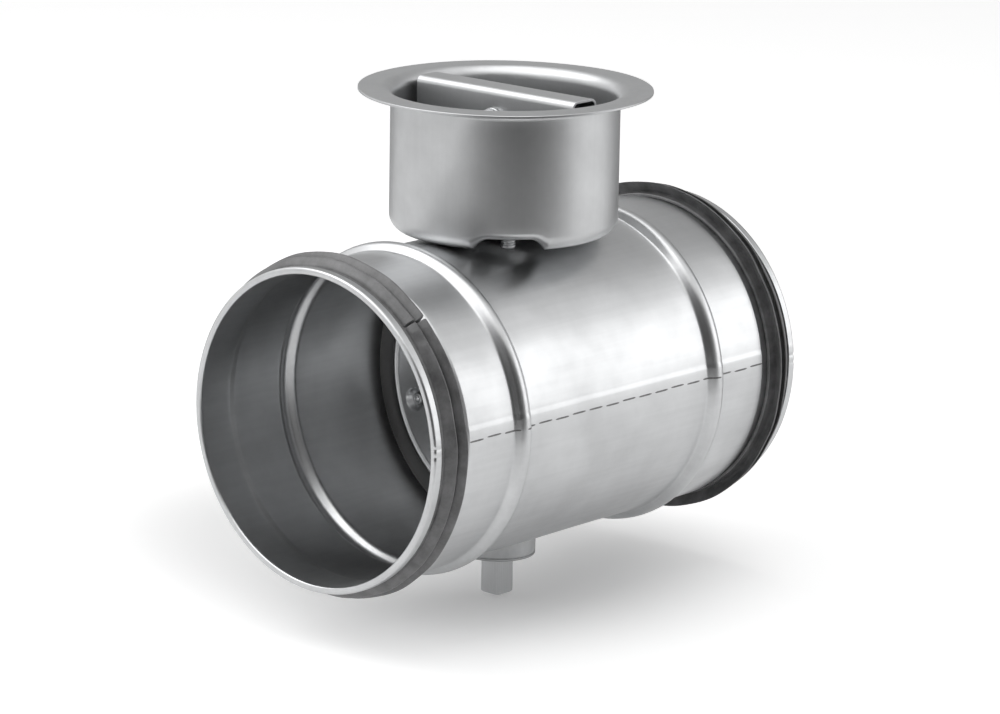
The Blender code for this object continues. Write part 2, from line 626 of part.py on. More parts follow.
def cross_nut(face):
    """Hexagon nut along X, seated on a face at +X."""
    nut = prism(hexagon_outline(NUT_FLATS, 0), face + SEAT_GAP, face + SEAT_GAP + NUT_THICKNESS)
    bmesh.ops.rotate(nut, verts=nut.verts, matrix=Matrix.Rotation(math.radians(90), 3, "Y"))
    return nut


def make_blade_screws(steel, body):
    """Two screws through the discs' channel and the shaft, with their nuts."""
    end = CHANNEL_OUTER_FACE + SEAT_GAP + NUT_THICKNESS + SCREW_TAIL
    for number, z in enumerate((BLADE_SCREW_HEIGHT, -BLADE_SCREW_HEIGHT), 1):
        place("blade_screw_" + str(number), moved(cross_screw(CHANNEL_OUTER_FACE, end), z=z), steel, body)
        nut = place("blade_nut_" + str(number), moved(cross_nut(CHANNEL_OUTER_FACE), z=z), steel, body)
        carve(nut, drilled_across(SCREW_HOLE, end, z))


def make_handle(steel, fastener_steel, body):
    """Folded channel over the shaft's top, held by a screw across it."""
    inner_bend = HANDLE_BEND - HANDLE_SHEET
    corner = (HANDLE_HALF_WIDTH - HANDLE_BEND, HANDLE_TOP - HANDLE_BEND)
    outer = [(HANDLE_HALF_WIDTH, HANDLE_BASE)] + arc(corner, HANDLE_BEND, 0, 90)
    inner = arc(corner, inner_bend, 90, 0) + [(SOCKET_HALF, HANDLE_BASE)]
    half = outer + [(-x, z) for x, z in reversed(outer)]
    hollow = [(-x, z) for x, z in reversed(inner)] + inner
    shape = bmesh.new()
    half_length = HANDLE_LENGTH / 2
    loft(shape, [[(x, y, z) for x, z in half + hollow] for y in (-half_length, half_length)], capped=True)
    handle = place("handle", shape, steel, body)
    carve(handle, drilled_across(SCREW_HOLE, HANDLE_HALF_WIDTH + OVERRUN, HANDLE_SCREW_Z))

    washer_face = HANDLE_HALF_WIDTH + SEAT_GAP + WASHER_THICKNESS
    washer = [(SCREW_HOLE, -washer_face), (WASHER_RADIUS, -washer_face),
              (WASHER_RADIUS, WASHER_THICKNESS - washer_face), (SCREW_HOLE, WASHER_THICKNESS - washer_face)]
    place("handle_washer", moved(turned_ring(washer, SCREW_FACETS, "X"), z=HANDLE_SCREW_Z), fastener_steel, body)
    end = HANDLE_HALF_WIDTH + SEAT_GAP + NUT_THICKNESS + SCREW_TAIL
    screw = moved(cross_screw(washer_face, end), z=HANDLE_SCREW_Z)
    place("handle_screw", screw, fastener_steel, body)
    nut = place("handle_nut", moved(cross_nut(HANDLE_HALF_WIDTH), z=HANDLE_SCREW_Z), fastener_steel, body)
    carve(nut, drilled_across(SCREW_HOLE, end, HANDLE_SCREW_Z))


def arc_slot(centre_radius, half_width, middle, half_angle, facets):
    """Outline of a slot bent round the shaft, with round ends; angles in degrees."""
    outline = []
    for side, end in ((1, middle + half_angle), (-1, middle - half_angle)):
        angle = math.radians(end)
        centre = (centre_radius * math.cos(angle), centre_radius * math.sin(angle))
        start = end if side > 0 else end + 180
        edge = centre_radius + side * half_width
        outline += arc((0, 0), edge, middle - side * half_angle, end, facets)
        outline += arc(centre, half_width, start, start + 180)[1:-1]
    return outline


def make_lock_plate(steel, body):
    """Quadrant plate on the shaft, whose arc slot limits and locks the travel."""
    half_travel = math.degrees(TRAVEL / 2 + SEAT_GAP / LOCK_RADIUS)
    half_sector = half_travel + math.degrees(2 * LOCK_HOLE / LOCK_RADIUS)
    facets = 3 * ARC_FACETS
    outline = arc((0, 0), PLATE_RADIUS, 180 - half_sector, 180 + half_sector, facets)
    outline += arc((0, 0), PLATE_HUB, 180 + half_sector, 540 - half_sector, facets)
    plate = place("lock_plate", prism(outline, PLATE_BASE, PLATE_TOP), steel, body)
    slot = arc_slot(LOCK_RADIUS, LOCK_HOLE, 180, half_travel, facets)
    socket = square_outline(SOCKET_HALF, SHAFT_CHAMFER)
    carve(plate, gathered([prism(hole, PLATE_BASE - OVERRUN, PLATE_TOP + OVERRUN) for hole in (slot, socket)]))


def make_lock(steel, body):
    """Nut welded on the platform, and the screw that clamps the plate on it."""
    nut_top = LOCK_NUT_BASE + LOCK_NUT_THICKNESS
    nut = prism(hexagon_outline(LOCK_FLATS, LOCK_ANGLE), LOCK_NUT_BASE, nut_top)
    lock_nut = place("lock_nut", moved(nut, LOCK_X, LOCK_Y), steel, body)
    carve(lock_nut, drilled(LOCK_HOLE, LOCK_NUT_BASE - OVERRUN, nut_top + OVERRUN, LOCK_X, LOCK_Y))

    washer_base = PLATE_TOP + RUNNING_GAP
    washer_top = washer_base + LOCK_WASHER_THICKNESS
    washer = [(LOCK_HOLE, washer_base), (LOCK_WASHER_RADIUS, washer_base),
              (LOCK_WASHER_RADIUS, washer_top), (LOCK_HOLE, washer_top)]
    place("lock_washer", moved(turned_ring(washer, SCREW_FACETS), LOCK_X, LOCK_Y), steel, body)

    head_base = washer_top + SEAT_GAP
    tip = PLATFORM_UNDER - LOCK_TAIL
    shank = [(LOCK_SCREW_RADIUS / 3, tip), (LOCK_SCREW_RADIUS * 2 / 3, tip + LOCK_SCREW_RADIUS / 5),
             (LOCK_SCREW_RADIUS, tip + LOCK_SCREW_RADIUS), (LOCK_SCREW_RADIUS, head_base + LOCK_HEAD_THICKNESS / 2)]
    head = prism(hexagon_outline(LOCK_FLATS, LOCK_ANGLE), head_base, head_base + LOCK_HEAD_THICKNESS)
    screw = place("lock_screw", moved(head, LOCK_X, LOCK_Y), steel, body)
    carve(screw, moved(turned_solid(shank, SCREW_FACETS), LOCK_X, LOCK_Y), "UNION")


def build():
    """Clear the scene, then put the damper together from the tube outwards."""
    for leftover in list(bpy.data.objects):
        bpy.data.objects.remove(leftover)
    fixed = bpy.data.objects.new("fixed_body", None)
    rotor = bpy.data.objects.new("rotor_body", None)
    bpy.context.collection.objects.link(fixed)
    bpy.context.collection.objects.link(rotor)

    galvanised = plain_material("galvanised_sheet", 0.55, 0.30, 1.0)
    drawn = plain_material("drawn_steel", 0.50, 0.35, 1.0)
    bright_zinc = plain_material("bright_zinc", 0.62, 0.25, 1.0)
    cast_zinc = plain_material("cast_zinc", 0.40, 0.45, 1.0)
    epdm = plain_material("epdm_rubber", 0.03, 0.60, 0.0)
    nylon = plain_material("black_nylon", 0.02, 0.50, 0.0)

    make_housing(galvanised, fixed)
    make_gaskets(epdm, fixed)
    make_cup(drawn, fixed)
    make_cup_rivets(bright_zinc, fixed)
    make_bearings(cast_zinc, fixed)
    make_lock(bright_zinc, fixed)

    make_shaft(bright_zinc, rotor)
    make_sleeves(nylon, rotor)
    make_blade_seal(epdm, rotor)
    make_discs(galvanised, rotor)
    make_eyelets(bright_zinc, rotor)
    make_blade_screws(bright_zinc, rotor)
    make_lock_plate(bright_zinc, rotor)
    make_handle(drawn, bright_zinc, rotor)


build()
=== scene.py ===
"""Looks of a round duct damper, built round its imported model.

Everything is in metres: X along the duct, Z up the shaft, the origin where the
two axes cross. The sections follow the damper as it is put together.
"""
import math

import bpy
import numpy as np
from mathutils import Matrix, Vector


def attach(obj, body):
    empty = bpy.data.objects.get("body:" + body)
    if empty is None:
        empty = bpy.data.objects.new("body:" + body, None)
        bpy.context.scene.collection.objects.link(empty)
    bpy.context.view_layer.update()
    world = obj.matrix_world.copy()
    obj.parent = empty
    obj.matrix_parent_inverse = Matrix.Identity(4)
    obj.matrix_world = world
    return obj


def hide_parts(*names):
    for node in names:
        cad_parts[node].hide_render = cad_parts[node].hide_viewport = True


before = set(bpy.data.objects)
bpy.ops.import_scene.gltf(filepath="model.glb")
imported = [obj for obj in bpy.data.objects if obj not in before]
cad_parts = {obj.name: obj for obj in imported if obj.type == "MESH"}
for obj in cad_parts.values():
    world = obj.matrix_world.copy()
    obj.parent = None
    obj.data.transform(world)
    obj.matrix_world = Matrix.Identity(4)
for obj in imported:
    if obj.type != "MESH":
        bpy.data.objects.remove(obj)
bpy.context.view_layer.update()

scene = bpy.context.scene

# ---------------------------------------------------------------------------
# Camera. A long lens two metres from the damper, looking a little down on the
# inlet end, as product photographs of fittings are taken.
CAMERA_AZIMUTH = math.radians(-48.349)
CAMERA_ELEVATION = math.radians(13.954)
CAMERA_ROLL = math.radians(1.033)
CAMERA_DISTANCE = 1.95610
CAMERA_RIGHT = -0.0001645
CAMERA_UP = 0.010394
FOCAL_LENGTH_IN_WIDTHS = 4.98523
SENSOR_WIDTH = 36.0

back = Vector((math.sin(CAMERA_AZIMUTH) * math.cos(CAMERA_ELEVATION),
               -math.cos(CAMERA_AZIMUTH) * math.cos(CAMERA_ELEVATION),
               math.sin(CAMERA_ELEVATION)))
level_right = Vector((math.cos(CAMERA_AZIMUTH), math.sin(CAMERA_AZIMUTH), 0))
level_up = back.cross(level_right)
right = level_right * math.cos(CAMERA_ROLL) + level_up * math.sin(CAMERA_ROLL)
up = level_up * math.cos(CAMERA_ROLL) - level_right * math.sin(CAMERA_ROLL)
lens = bpy.data.cameras.new("product_camera")
lens.sensor_width = SENSOR_WIDTH
lens.lens = FOCAL_LENGTH_IN_WIDTHS * SENSOR_WIDTH
camera = bpy.data.objects.new("product_camera", lens)
camera.matrix_world = Matrix((right, up, back)).transposed().to_4x4()
camera.location = back * CAMERA_DISTANCE + right * CAMERA_RIGHT + up * CAMERA_UP
scene.collection.objects.link(camera)
scene.camera = camera

# ---------------------------------------------------------------------------
# Studio. A white paper sweep under the damper, with a painted shadow in its glow,
# three soft boxes round it, and glowing cards that only the steel mirrors, painted
# reflections: grey for its darks, white for its glints.
FLOOR_LEVEL = -0.0866
FLOOR_SIZE = 14.0
WORLD_FILL = 0.28


def linear(code):
    """The linear colour of an sRGB hex code: each channel through the sRGB curve."""
    channels = [int(code[place:place + 2], 16) / 255 for place in (0, 2, 4)]
    return [c / 12.92 if c <= 0.04045 else ((c + 0.055) / 1.055) ** 2.4 for c in channels] + [1]


def node(tree, kind, inputs=None, **settings):
    """Add a shader node: settings are its options, inputs its values, nodes or sockets to link."""
    made = tree.nodes.new("ShaderNode" + kind)
    for name, value in settings.items():
        setattr(made, name, value)
    for name, value in (inputs or {}).items():
        if isinstance(value, bpy.types.Node):
            value = value.outputs[0]
        if isinstance(value, bpy.types.NodeSocket):
            tree.links.new(value, made.inputs[name])
        else:
            made.inputs[name].default_value = value
    return made


def blank_material(name):
    """A new empty material, its tree, and the object coordinates that its patterns follow."""
    material = bpy.data.materials.new(name)
    material.use_nodes = True
    tree = material.node_tree
    tree.nodes.clear()
    return material, tree, node(tree, "TexCoord").outputs["Object"]


def flat_panel(name, centre, towards, width, height):
    """A rectangle at a place, facing another place."""
    facing = (Vector(towards) - Vector(centre)).to_track_quat("Z", "Y").to_matrix()
    corners = [Vector(centre) + facing @ Vector((x * width / 2, y * height / 2, 0))
               for x, y in ((-1, -1), (1, -1), (1, 1), (-1, 1))]
    mesh = bpy.data.meshes.new(name)
    mesh.from_pydata(corners, [], [(0, 1, 2, 3)])
    panel = bpy.data.objects.new(name, mesh)
    scene.collection.objects.link(panel)
    return panel


# White paper. Its diffuse white holds the damper's shadow. It also glows to the
# eye, and so meets the white air behind it without an edge; in an ellipse round
# the damper that glow falls by an S curve, which paints a shadow round the damper
# on top of the cast one. The steel mirrors the glow at seven tenths, painted
# shadow included: a painted reflection, as dark as the tube's underside looks.
PAINTED_SHADOW_CENTRE = (0.0244, 0.0734, FLOOR_LEVEL)
PAINTED_SHADOW_TURN = math.radians(82.8)
PAINTED_SHADOW_REACH = (0.1853, 0.1476, 1.0)
PAINTED_SHADOW_CORE = 0.415
PAINTED_SHADOW_GLOW = 0.177
OPEN_GLOW = 0.555
MIRRORED_PAINTED_GLOW = 0.70

paper, tree, place = blank_material("sweep_paper")
painted_shadow_place = node(tree, "Mapping", {"Vector": place, "Location": PAINTED_SHADOW_CENTRE,
                              "Rotation": (0, 0, PAINTED_SHADOW_TURN), "Scale": PAINTED_SHADOW_REACH},
            vector_type="TEXTURE")
away = node(tree, "VectorMath", {0: painted_shadow_place}, operation="LENGTH")
# The glow falls towards the damper by an S curve: painted shadow
painted_shadow_glow = node(tree, "MapRange", {"Value": away.outputs["Value"], "From Min": PAINTED_SHADOW_CORE,
                              "From Max": 1.0, "To Min": PAINTED_SHADOW_GLOW, "To Max": OPEN_GLOW},
           interpolation_type="SMOOTHSTEP")
rays = node(tree, "LightPath").outputs
# Mirrored rays see the glow, painted shadow included, at seven tenths: painted reflection
seen = node(tree, "Math", {0: rays["Is Glossy Ray"], 1: MIRRORED_PAINTED_GLOW, 2: rays["Is Camera Ray"]},
            operation="MULTIPLY_ADD")
strength = node(tree, "Math", {0: seen, 1: painted_shadow_glow}, operation="MULTIPLY")
white = node(tree, "BsdfDiffuse", {"Color": linear("F4F4F4")})
glow = node(tree, "Emission", {"Color": linear("FFFFFF"), "Strength": strength})
both = node(tree, "AddShader", {0: white, 1: glow})
node(tree, "OutputMaterial", {"Surface": both})
floor = flat_panel("sweep_floor", (0, 0, FLOOR_LEVEL), (0, 0, 1), FLOOR_SIZE, FLOOR_SIZE)
floor.data.materials.append(paper)

# World: white where it is looked at, mirrored or seen through, and a level fill
# for everything else
world = bpy.data.worlds.new("studio_air")
world.use_nodes = True
scene.world = world
tree = world.node_tree
tree.nodes.clear()
rays = node(tree, "LightPath").outputs
direct = node(tree, "Math", {0: rays["Is Camera Ray"], 1: rays["Is Glossy Ray"]},
              operation="MAXIMUM")
looks = node(tree, "Math", {0: direct, 1: rays["Is Transmission Ray"]}, operation="MAXIMUM")
strength = node(tree, "MapRange", {"Value": looks, "To Min": WORLD_FILL, "To Max": 1.0})
air = node(tree, "Background", {"Color": linear("FFFFFF"), "Strength": strength})
node(tree, "OutputWorld", {"Surface": air})


def soft_box(name, azimuth, elevation, width, height, radiance, distance=1.5):
    """A rectangular lamp that faces the damper from a direction and a height in degrees.

    At a radiance of 1 it is as bright as the white air behind it."""
    turn, lift = math.radians(azimuth), math.radians(elevation)
    place = Vector((math.cos(turn) * math.cos(lift), math.sin(turn) * math.cos(lift),
                    math.sin(lift))) * distance
    data = bpy.data.lights.new(name, "AREA")
    data.shape = "RECTANGLE"
    data.size = width
    data.size_y = height
    data.energy = radiance * math.pi * width * height
    lamp = bpy.data.objects.new(name, data)
    lamp.matrix_world = (-place).to_track_quat("-Z", "Y").to_matrix().to_4x4()
    lamp.location = place
    scene.collection.objects.link(lamp)


soft_box("soft_box_right", -42, 11, 1.1, 1.0, 0.9)
soft_box("soft_box_left", 115, 48, 1.2, 0.8, 1.2)
soft_box("soft_box_above", 165, 72, 1.9, 1.9, 1.0)


def painted_reflection_card(name, azimuth, distance, low, high, width, middle, edge, brightness=1.0):
    """A glowing upright card that only mirrored rays meet, a painted reflection in the steel;
    it darkens no paper and casts no shadow.

    Its grey goes from middle to edge by an S curve over the distance from its upright
    middle line."""
    turn = math.radians(azimuth)
    centre = Vector((math.cos(turn) * distance, math.sin(turn) * distance, (low + high) / 2))
    card = flat_panel(name, centre, (0, 0, centre.z), width, high - low)
    material, tree, place = blank_material(name)
    across = node(tree, "VectorMath", {0: place, 1: (-math.sin(turn), math.cos(turn), 0)},
                  operation="DOT_PRODUCT")
    off_middle = node(tree, "Math", {0: across.outputs["Value"]}, operation="ABSOLUTE")
    share = node(tree, "MapRange", {"Value": off_middle, "From Max": width / 2},
                 interpolation_type="SMOOTHSTEP")
    grey = node(tree, "Mix", {0: share, 6: linear(middle), 7: linear(edge)}, data_type="RGBA")
    glow = node(tree, "Emission", {"Color": grey.outputs[2], "Strength": brightness})
    node(tree, "OutputMaterial", {"Surface": glow})
    card.data.materials.append(material)
    card.visible_camera = card.visible_diffuse = False
    card.visible_transmission = card.visible_shadow = False


# Painted reflections: a dark card before the cup, a tall and a low grey one behind
# the damper for the crown, and a bright glowing one high on the left for the beads
# and the flange
ON_FLOOR = FLOOR_LEVEL + 0.001
painted_reflection_card("card_before", 236, 0.42, ON_FLOOR, 0.42, 0.98, "343434", "909090")
painted_reflection_card("card_far", 28, 2.2, 0.0, 3.4, 4.1, "B0B0B0", "B0B0B0")
painted_reflection_card("card_low", 34, 0.50, ON_FLOOR, 0.04, 1.3, "484848", "A8A8A8")
painted_reflection_card("card_upper_left", 158, 1.3, 1.0, 2.2, 1.6, "FFFFFF", "FFFFFF", 1.6)

# ---------------------------------------------------------------------------
# Housing. One galvanised sheet, rolled round and stitch welded along the side,
# with two swaged stop beads, a necked seat for each gasket and hemmed rims.
TUBE_RADIUS = 0.0620
SHEET = 0.0007
HALF_LENGTH = 0.1062
BEAD_HEIGHT = 0.0031
BEAD_HALF_WIDTH = 0.0054
BEAD_CREST = 0.0040
BEAD_FOOT = 0.0020
BEAD_X = 0.0568
NECK_RADIUS = 0.0607
STEP_START = 0.0860
STEP_FOOT = 0.0904
STEP_SHARES = np.array([0, 0.05, 0.12, 0.3, 0.5, 0.7, 0.86, 0.95, 1])
STEP_DROPS = np.array([0, 0.012, 0.075, 0.28, 0.50, 0.72, 0.90, 0.975, 1])
HEM_RADIUS = 0.0628
HEM_END = 0.1024
HEM_NOSE = 0.0014
HEM_FLATNESS = 0.62
SEAM_LIFT = 0.00021
WELD_ANGLE = 3.8
LAP_SLOPE = 9.0
LAP_ANGLE = 7.2
LAP_FADE = 2.2
INNER_EDGE = 0.6
INNER_FADE = 0.6
NECK_SQUEEZE = 0.55
PINCH_DEPTH = 0.00030
BEARING_HOLE = 0.0099
RIVET_PLACES = (-0.033408, -0.02208, 0.02208, 0.033408)
RIVET_HOLE = 0.0019
HOLE_SIDES = 48
WALL_SPAN = (0.0560, 0.0660)


def ease(share):
    """An S curve from 0 to 1, level at both ends."""
    share = np.clip(share, 0, 1)
    return share * share * (3 - 2 * share)


def circle(step=5.0, start=0.0):
    """Angles once round in radians, step degrees apart."""
    return np.radians(start + np.arange(0, 360 - step / 2, step))


def grid_mesh(name, x, y, z, rows_meet=False, sharp=35):
    """A closed mesh from arrays of rows by columns; columns run all the way round.

    Where rows_meet the last row joins the first, else one face caps each end row. A
    leading axis of the arrays is as many separate shells. The faces are turned round
    if the volume they enclose comes out negative."""
    points = np.stack(np.broadcast_arrays(x, y, z), -1)
    rows, columns = points.shape[-3:-1]
    points = points.reshape(-1, 3)
    index = np.arange(len(points)).reshape(-1, rows, columns)
    own = index if rows_meet else index[:, :-1]
    following = np.roll(index, -1, 1) if rows_meet else index[:, 1:]
    quads = np.stack([own, np.roll(own, -1, 2), np.roll(following, -1, 2), following], -1)
    quads = quads.reshape(-1, 4)
    a, b, c, d = (points[quads[:, k]] for k in range(4))
    volume = np.einsum("ij,ij->", a, np.cross(b, c)) + np.einsum("ij,ij->", a, np.cross(c, d))
    caps = np.concatenate([index[:, 0, ::-1], index[:, -1]])[:0 if rows_meet else None]
    first, others = points[caps[:, :1]], points[caps]
    volume += np.sum(first * np.cross(others[:, 1:-1], others[:, 2:]))
    turned = 1 if volume > 0 else -1
    mesh = bpy.data.meshes.new(name)
    mesh.from_pydata(points.tolist(), [], quads[:, ::turned].tolist() + caps[:, ::turned].tolist())
    mesh.shade_smooth()
    mesh.set_sharp_from_angle(angle=math.radians(sharp))
    return mesh


def spun(name, radius, along, turn, axis="Z", centre=(0, 0, 0), rows_meet=False, sharp=35):
    """A turned form: a radius and a place along an axis for each row, swept round it."""
    radius, along, turn = np.broadcast_arrays(radius, along, turn)
    u, v = radius * np.cos(turn), radius * np.sin(turn)
    x, y, z = {"X": (along, u, v), "Y": (v, along, u), "Z": (u, v, along)}[axis]
    return grid_mesh(name, x + centre[0], y + centre[1], z + centre[2], rows_meet, sharp)


def piece(name, mesh, material, body, replaces_node=True):
    """Put a finished mesh into the scene, with the body it rides on.

    A piece that replaces the node of its name is told from it by _fine."""
    made = bpy.data.objects.new(name + "_fine" if replaces_node else name, mesh)
    mesh.name = made.name
    mesh.materials.append(material)
    scene.collection.objects.link(made)
    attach(made, body)
    if replaces_node:
        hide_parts(name)
    return made


def cut_away(target, mesh):
    """Cut a mesh out of a piece for good."""
    cutter = bpy.data.objects.new(mesh.name, mesh)
    scene.collection.objects.link(cutter)
    modifier = target.modifiers.new("cut", "BOOLEAN")
    modifier.operation = "DIFFERENCE"
    modifier.solver = "EXACT"
    modifier.object = cutter
    evaluated = target.evaluated_get(bpy.context.evaluated_depsgraph_get())
    cut = bpy.data.meshes.new_from_object(evaluated)
    cut.set_sharp_from_angle(angle=math.radians(35))
    target.modifiers.clear()
    old = target.data
    target.data = cut
    bpy.data.meshes.remove(old)
    cut.name = target.name
    bpy.data.objects.remove(cutter)
    bpy.data.meshes.remove(mesh)


def posts(axis, *rows):
    """Round posts along an axis, each (x, y, z, radius, low, high), to cut holes with."""
    x, y, z, radius, low, high = np.array(rows, float).T[:, :, None, None]
    along = low + (high - low) * np.array([0, 1])[:, None]
    return spun("posts", radius, along, circle(360 / HOLE_SIDES), axis, (x, y, z))


def column(*stretches):
    """Join (radius, place) stretches, each two arrays or numbers, end to end as two columns."""
    pairs = [np.broadcast_arrays(np.atleast_1d(r).astype(float), np.atleast_1d(x).astype(float))
             for r, x in stretches]
    radii, places = zip(*pairs)
    return np.concatenate(radii)[:, None], np.concatenate(places)[:, None]


def bend(centre, radius, start, end, count, flatness=1.0):
    """Radii and places round a bend in degrees; below 1, flatness squares its nose."""
    turn = np.radians(np.linspace(start, end, count))
    nose = np.sign(np.sin(turn)) * np.abs(np.sin(turn)) ** flatness
    return centre[0] + radius * np.cos(turn), centre[1] + radius * nose


def bead_profile(depth):
    """Rise over the tube and place along it across one bead, for a face so deep in the sheet.

    A crest arc runs into a straight flank and a foot arc; the flank is the line that
    touches both, and the other half is the mirror of this one."""
    rise_of_centres = BEAD_CREST + BEAD_FOOT - BEAD_HEIGHT
    flank = (math.atan2(rise_of_centres, BEAD_HALF_WIDTH)
             + math.acos((BEAD_CREST + BEAD_FOOT) / math.hypot(BEAD_HALF_WIDTH, rise_of_centres)))
    turn = np.linspace(math.pi / 2, flank, 10)
    crest, foot = BEAD_CREST - depth, BEAD_FOOT + depth
    place = np.concatenate([crest * np.cos(turn), BEAD_HALF_WIDTH - foot * np.cos(turn[::-1])])
    rise = np.concatenate([BEAD_HEIGHT - BEAD_CREST + crest * np.sin(turn),
                           BEAD_FOOT - foot * np.sin(turn[::-1])])
    return np.concatenate([rise[:0:-1], rise]), np.concatenate([-place[:0:-1], place])


def wall_run(depth, middles, steps):
    """One face of the tube from its middle to the neck, as (radius, x) stretches."""
    face = TUBE_RADIUS - depth
    rise, place = bead_profile(depth)
    return [(face, np.linspace(0, BEAD_X - BEAD_HALF_WIDTH, middles)[:-1]),
            (TUBE_RADIUS + rise, BEAD_X + place),
            (face, np.linspace(BEAD_X + BEAD_HALF_WIDTH, STEP_START, steps)[1:-1]),
            (face - (TUBE_RADIUS - NECK_RADIUS) * STEP_DROPS,
             STEP_START + (STEP_FOOT - STEP_START) * STEP_SHARES)]


def backwards(stretches):
    """The same stretches from the other end."""
    return [(np.asarray(r)[::-1] if np.ndim(r) else r, x[::-1]) for r, x in reversed(stretches)]


# The section: out along the outer face, round the hem and its nose, and back along
# the bore; the other half of the tube is its mirror
bore = NECK_RADIUS - SHEET
nose = (bore + HEM_NOSE, HALF_LENGTH - HEM_NOSE)
outer_half = column(
    *wall_run(0.0, 22, 10), (NECK_RADIUS, np.linspace(STEP_FOOT, nose[1], 8)[1:-1]),
    bend(nose, HEM_NOSE - SHEET, 180, 0, 7),
    (HEM_RADIUS - SHEET * np.array([0.75, 0.97, 0.75, 0.25]),
     HEM_END + SHEET * np.array([0.9, 0.25, 0, 0])),
    (HEM_RADIUS, HEM_END + SHEET / 4), bend(nose, HEM_NOSE, 0, 180, 17, HEM_FLATNESS))
inner_half = column((bore, np.linspace(nose[1], STEP_FOOT, 8)[1:-1]),
                    *backwards(wall_run(SHEET, 12, 8)))
half_radius, half_x = (np.concatenate(pair) for pair in zip(outer_half, inner_half))
half_outward = np.arange(len(half_x))[:, None] < len(outer_half[0])
section_radius = np.concatenate([half_radius, half_radius[-2:0:-1]])
section_x = np.concatenate([half_x, -half_x[-2:0:-1]])
outward = np.concatenate([half_outward, half_outward[-2:0:-1]])


def on_neck(x):
    """0 on the tube, 1 on the neck and hem, with an S curve down the step."""
    return ease((np.abs(x) - STEP_START) / (STEP_FOOT - STEP_START))


def waves(turn, x, *rows):
    """Sine waves added up, each a height, waves in a turn, radians a metre along x, and a start."""
    return sum(height * np.sin(count * turn + pitch * x + start)
               for height, count, pitch, start in rows)


def dents(place, *rows):
    """Bell curves added up, each a depth, a middle and a half width in the units of place."""
    return sum(depth * np.exp(-((place - middle) / width) ** 2) for depth, middle, width in rows)


def out_of_true(turn, x):
    """How far the sheet stands out after a hand-fed roll; the neck is rolled true again."""
    return waves(turn, x, (0.000050, 3, 70, 0), (0.000040, 5, -95, 1.3),
                 (0.000022, 9, 160, 0.4)) * (1 - on_neck(x))


# Columns are degrees above the side that faces the camera, closer at the seam
seam_columns = np.concatenate([np.arange(-1, 6.4, 0.3), np.arange(6.4, 9.7, 0.2)])
around = np.concatenate([seam_columns, np.arange(10.5, 358.6, 2.0)])[None, :]
around = (around + 180) % 360 - 180
# The outer sheet lifts towards the weld and ends in a lap; the inner one tucks under it
lapped = np.where(around < WELD_ANGLE, np.exp((around - WELD_ANGLE) / LAP_SLOPE),
                  1 - ease((around - LAP_ANGLE) / LAP_FADE))
tucked = np.where(around > WELD_ANGLE, np.exp((WELD_ANGLE - around) / LAP_SLOPE),
                  ease((around - INNER_EDGE) / INNER_FADE + 0.5))
seam = SEAM_LIFT * np.where(outward, lapped, -tucked) * (1 - NECK_SQUEEZE * on_neck(section_x))
# Each rim is pinched at the lap, where the hem was closed over two sheets
turn = np.radians(around)
on_hem = ease((np.abs(section_x) - HEM_END) / HEM_NOSE)
pinch = PINCH_DEPTH * dents(around, (1, 4.4, 0.55), (0.6, 1.6, 0.6)) * on_hem
radius = section_radius + seam + out_of_true(turn, section_x) - pinch * 0.8
along = section_x - np.sign(section_x) * pinch
housing_mesh = grid_mesh("housing", along + 0 * turn, -radius * np.cos(turn),
                         radius * np.sin(turn), True)

# Galvanised sheet: a bright, even zinc skin with rolling streaks, six centimetres
# long and two millimetres apart, and dull clouds of three centimetres from handling
galvanised, tree, place = blank_material("galvanised_sheet")
stretched = node(tree, "Mapping", {"Vector": place, "Scale": (16, 520, 520)})
streaks = node(tree, "TexNoise", {"Vector": stretched, "Scale": 1.0, "Detail": 3.0})
clouds = node(tree, "TexNoise", {"Vector": place, "Scale": 34.0, "Detail": 4.0, "Roughness": 0.6})
shade = node(tree, "Math", {0: streaks, 1: 0.3, 2: clouds}, operation="MULTIPLY_ADD")
tint = node(tree, "MapRange", {"Value": shade, "From Min": 0.45, "From Max": 0.9})
colour = node(tree, "Mix", {0: tint, 6: linear("C2C3C4"), 7: linear("D2D3D4")}, data_type="RGBA")
dullness = node(tree, "MapRange", {"Value": tint, "To Min": 0.36, "To Max": 0.28})
grain = node(tree, "Bump", {"Height": streaks, "Strength": 0.2, "Distance": 0.00003})
shader = node(tree, "BsdfPrincipled", {"Base Color": colour.outputs[2], "Metallic": 1.0,
                                       "Roughness": dullness, "Normal": grain})
node(tree, "OutputMaterial", {"Surface": shader})

housing = piece("housing", housing_mesh, galvanised, "duct_body")
cut_away(housing, posts("Z", (0, 0, 0, BEARING_HOLE, *WALL_SPAN),
                        (0, 0, 0, BEARING_HOLE, -WALL_SPAN[1], -WALL_SPAN[0]),
                        *((x, 0, 0, RIVET_HOLE, *WALL_SPAN) for x in RIVET_PLACES)))

# ---------------------------------------------------------------------------
# Seam weld. A wheel electrode leaves a row of stitches where it pressed the two
# edges together, darker than the zinc round it.
STITCH_LENGTH = 0.0078
STITCH_PITCH = 0.0097
STITCH_HALF_WIDTH = 0.00034
STITCH_HEIGHT = 0.00009
STITCH_DEPTH = 0.00030
STITCH_REACH = 0.0910
STITCH_WANDER = 0.00018
WANDER_PITCH = 410

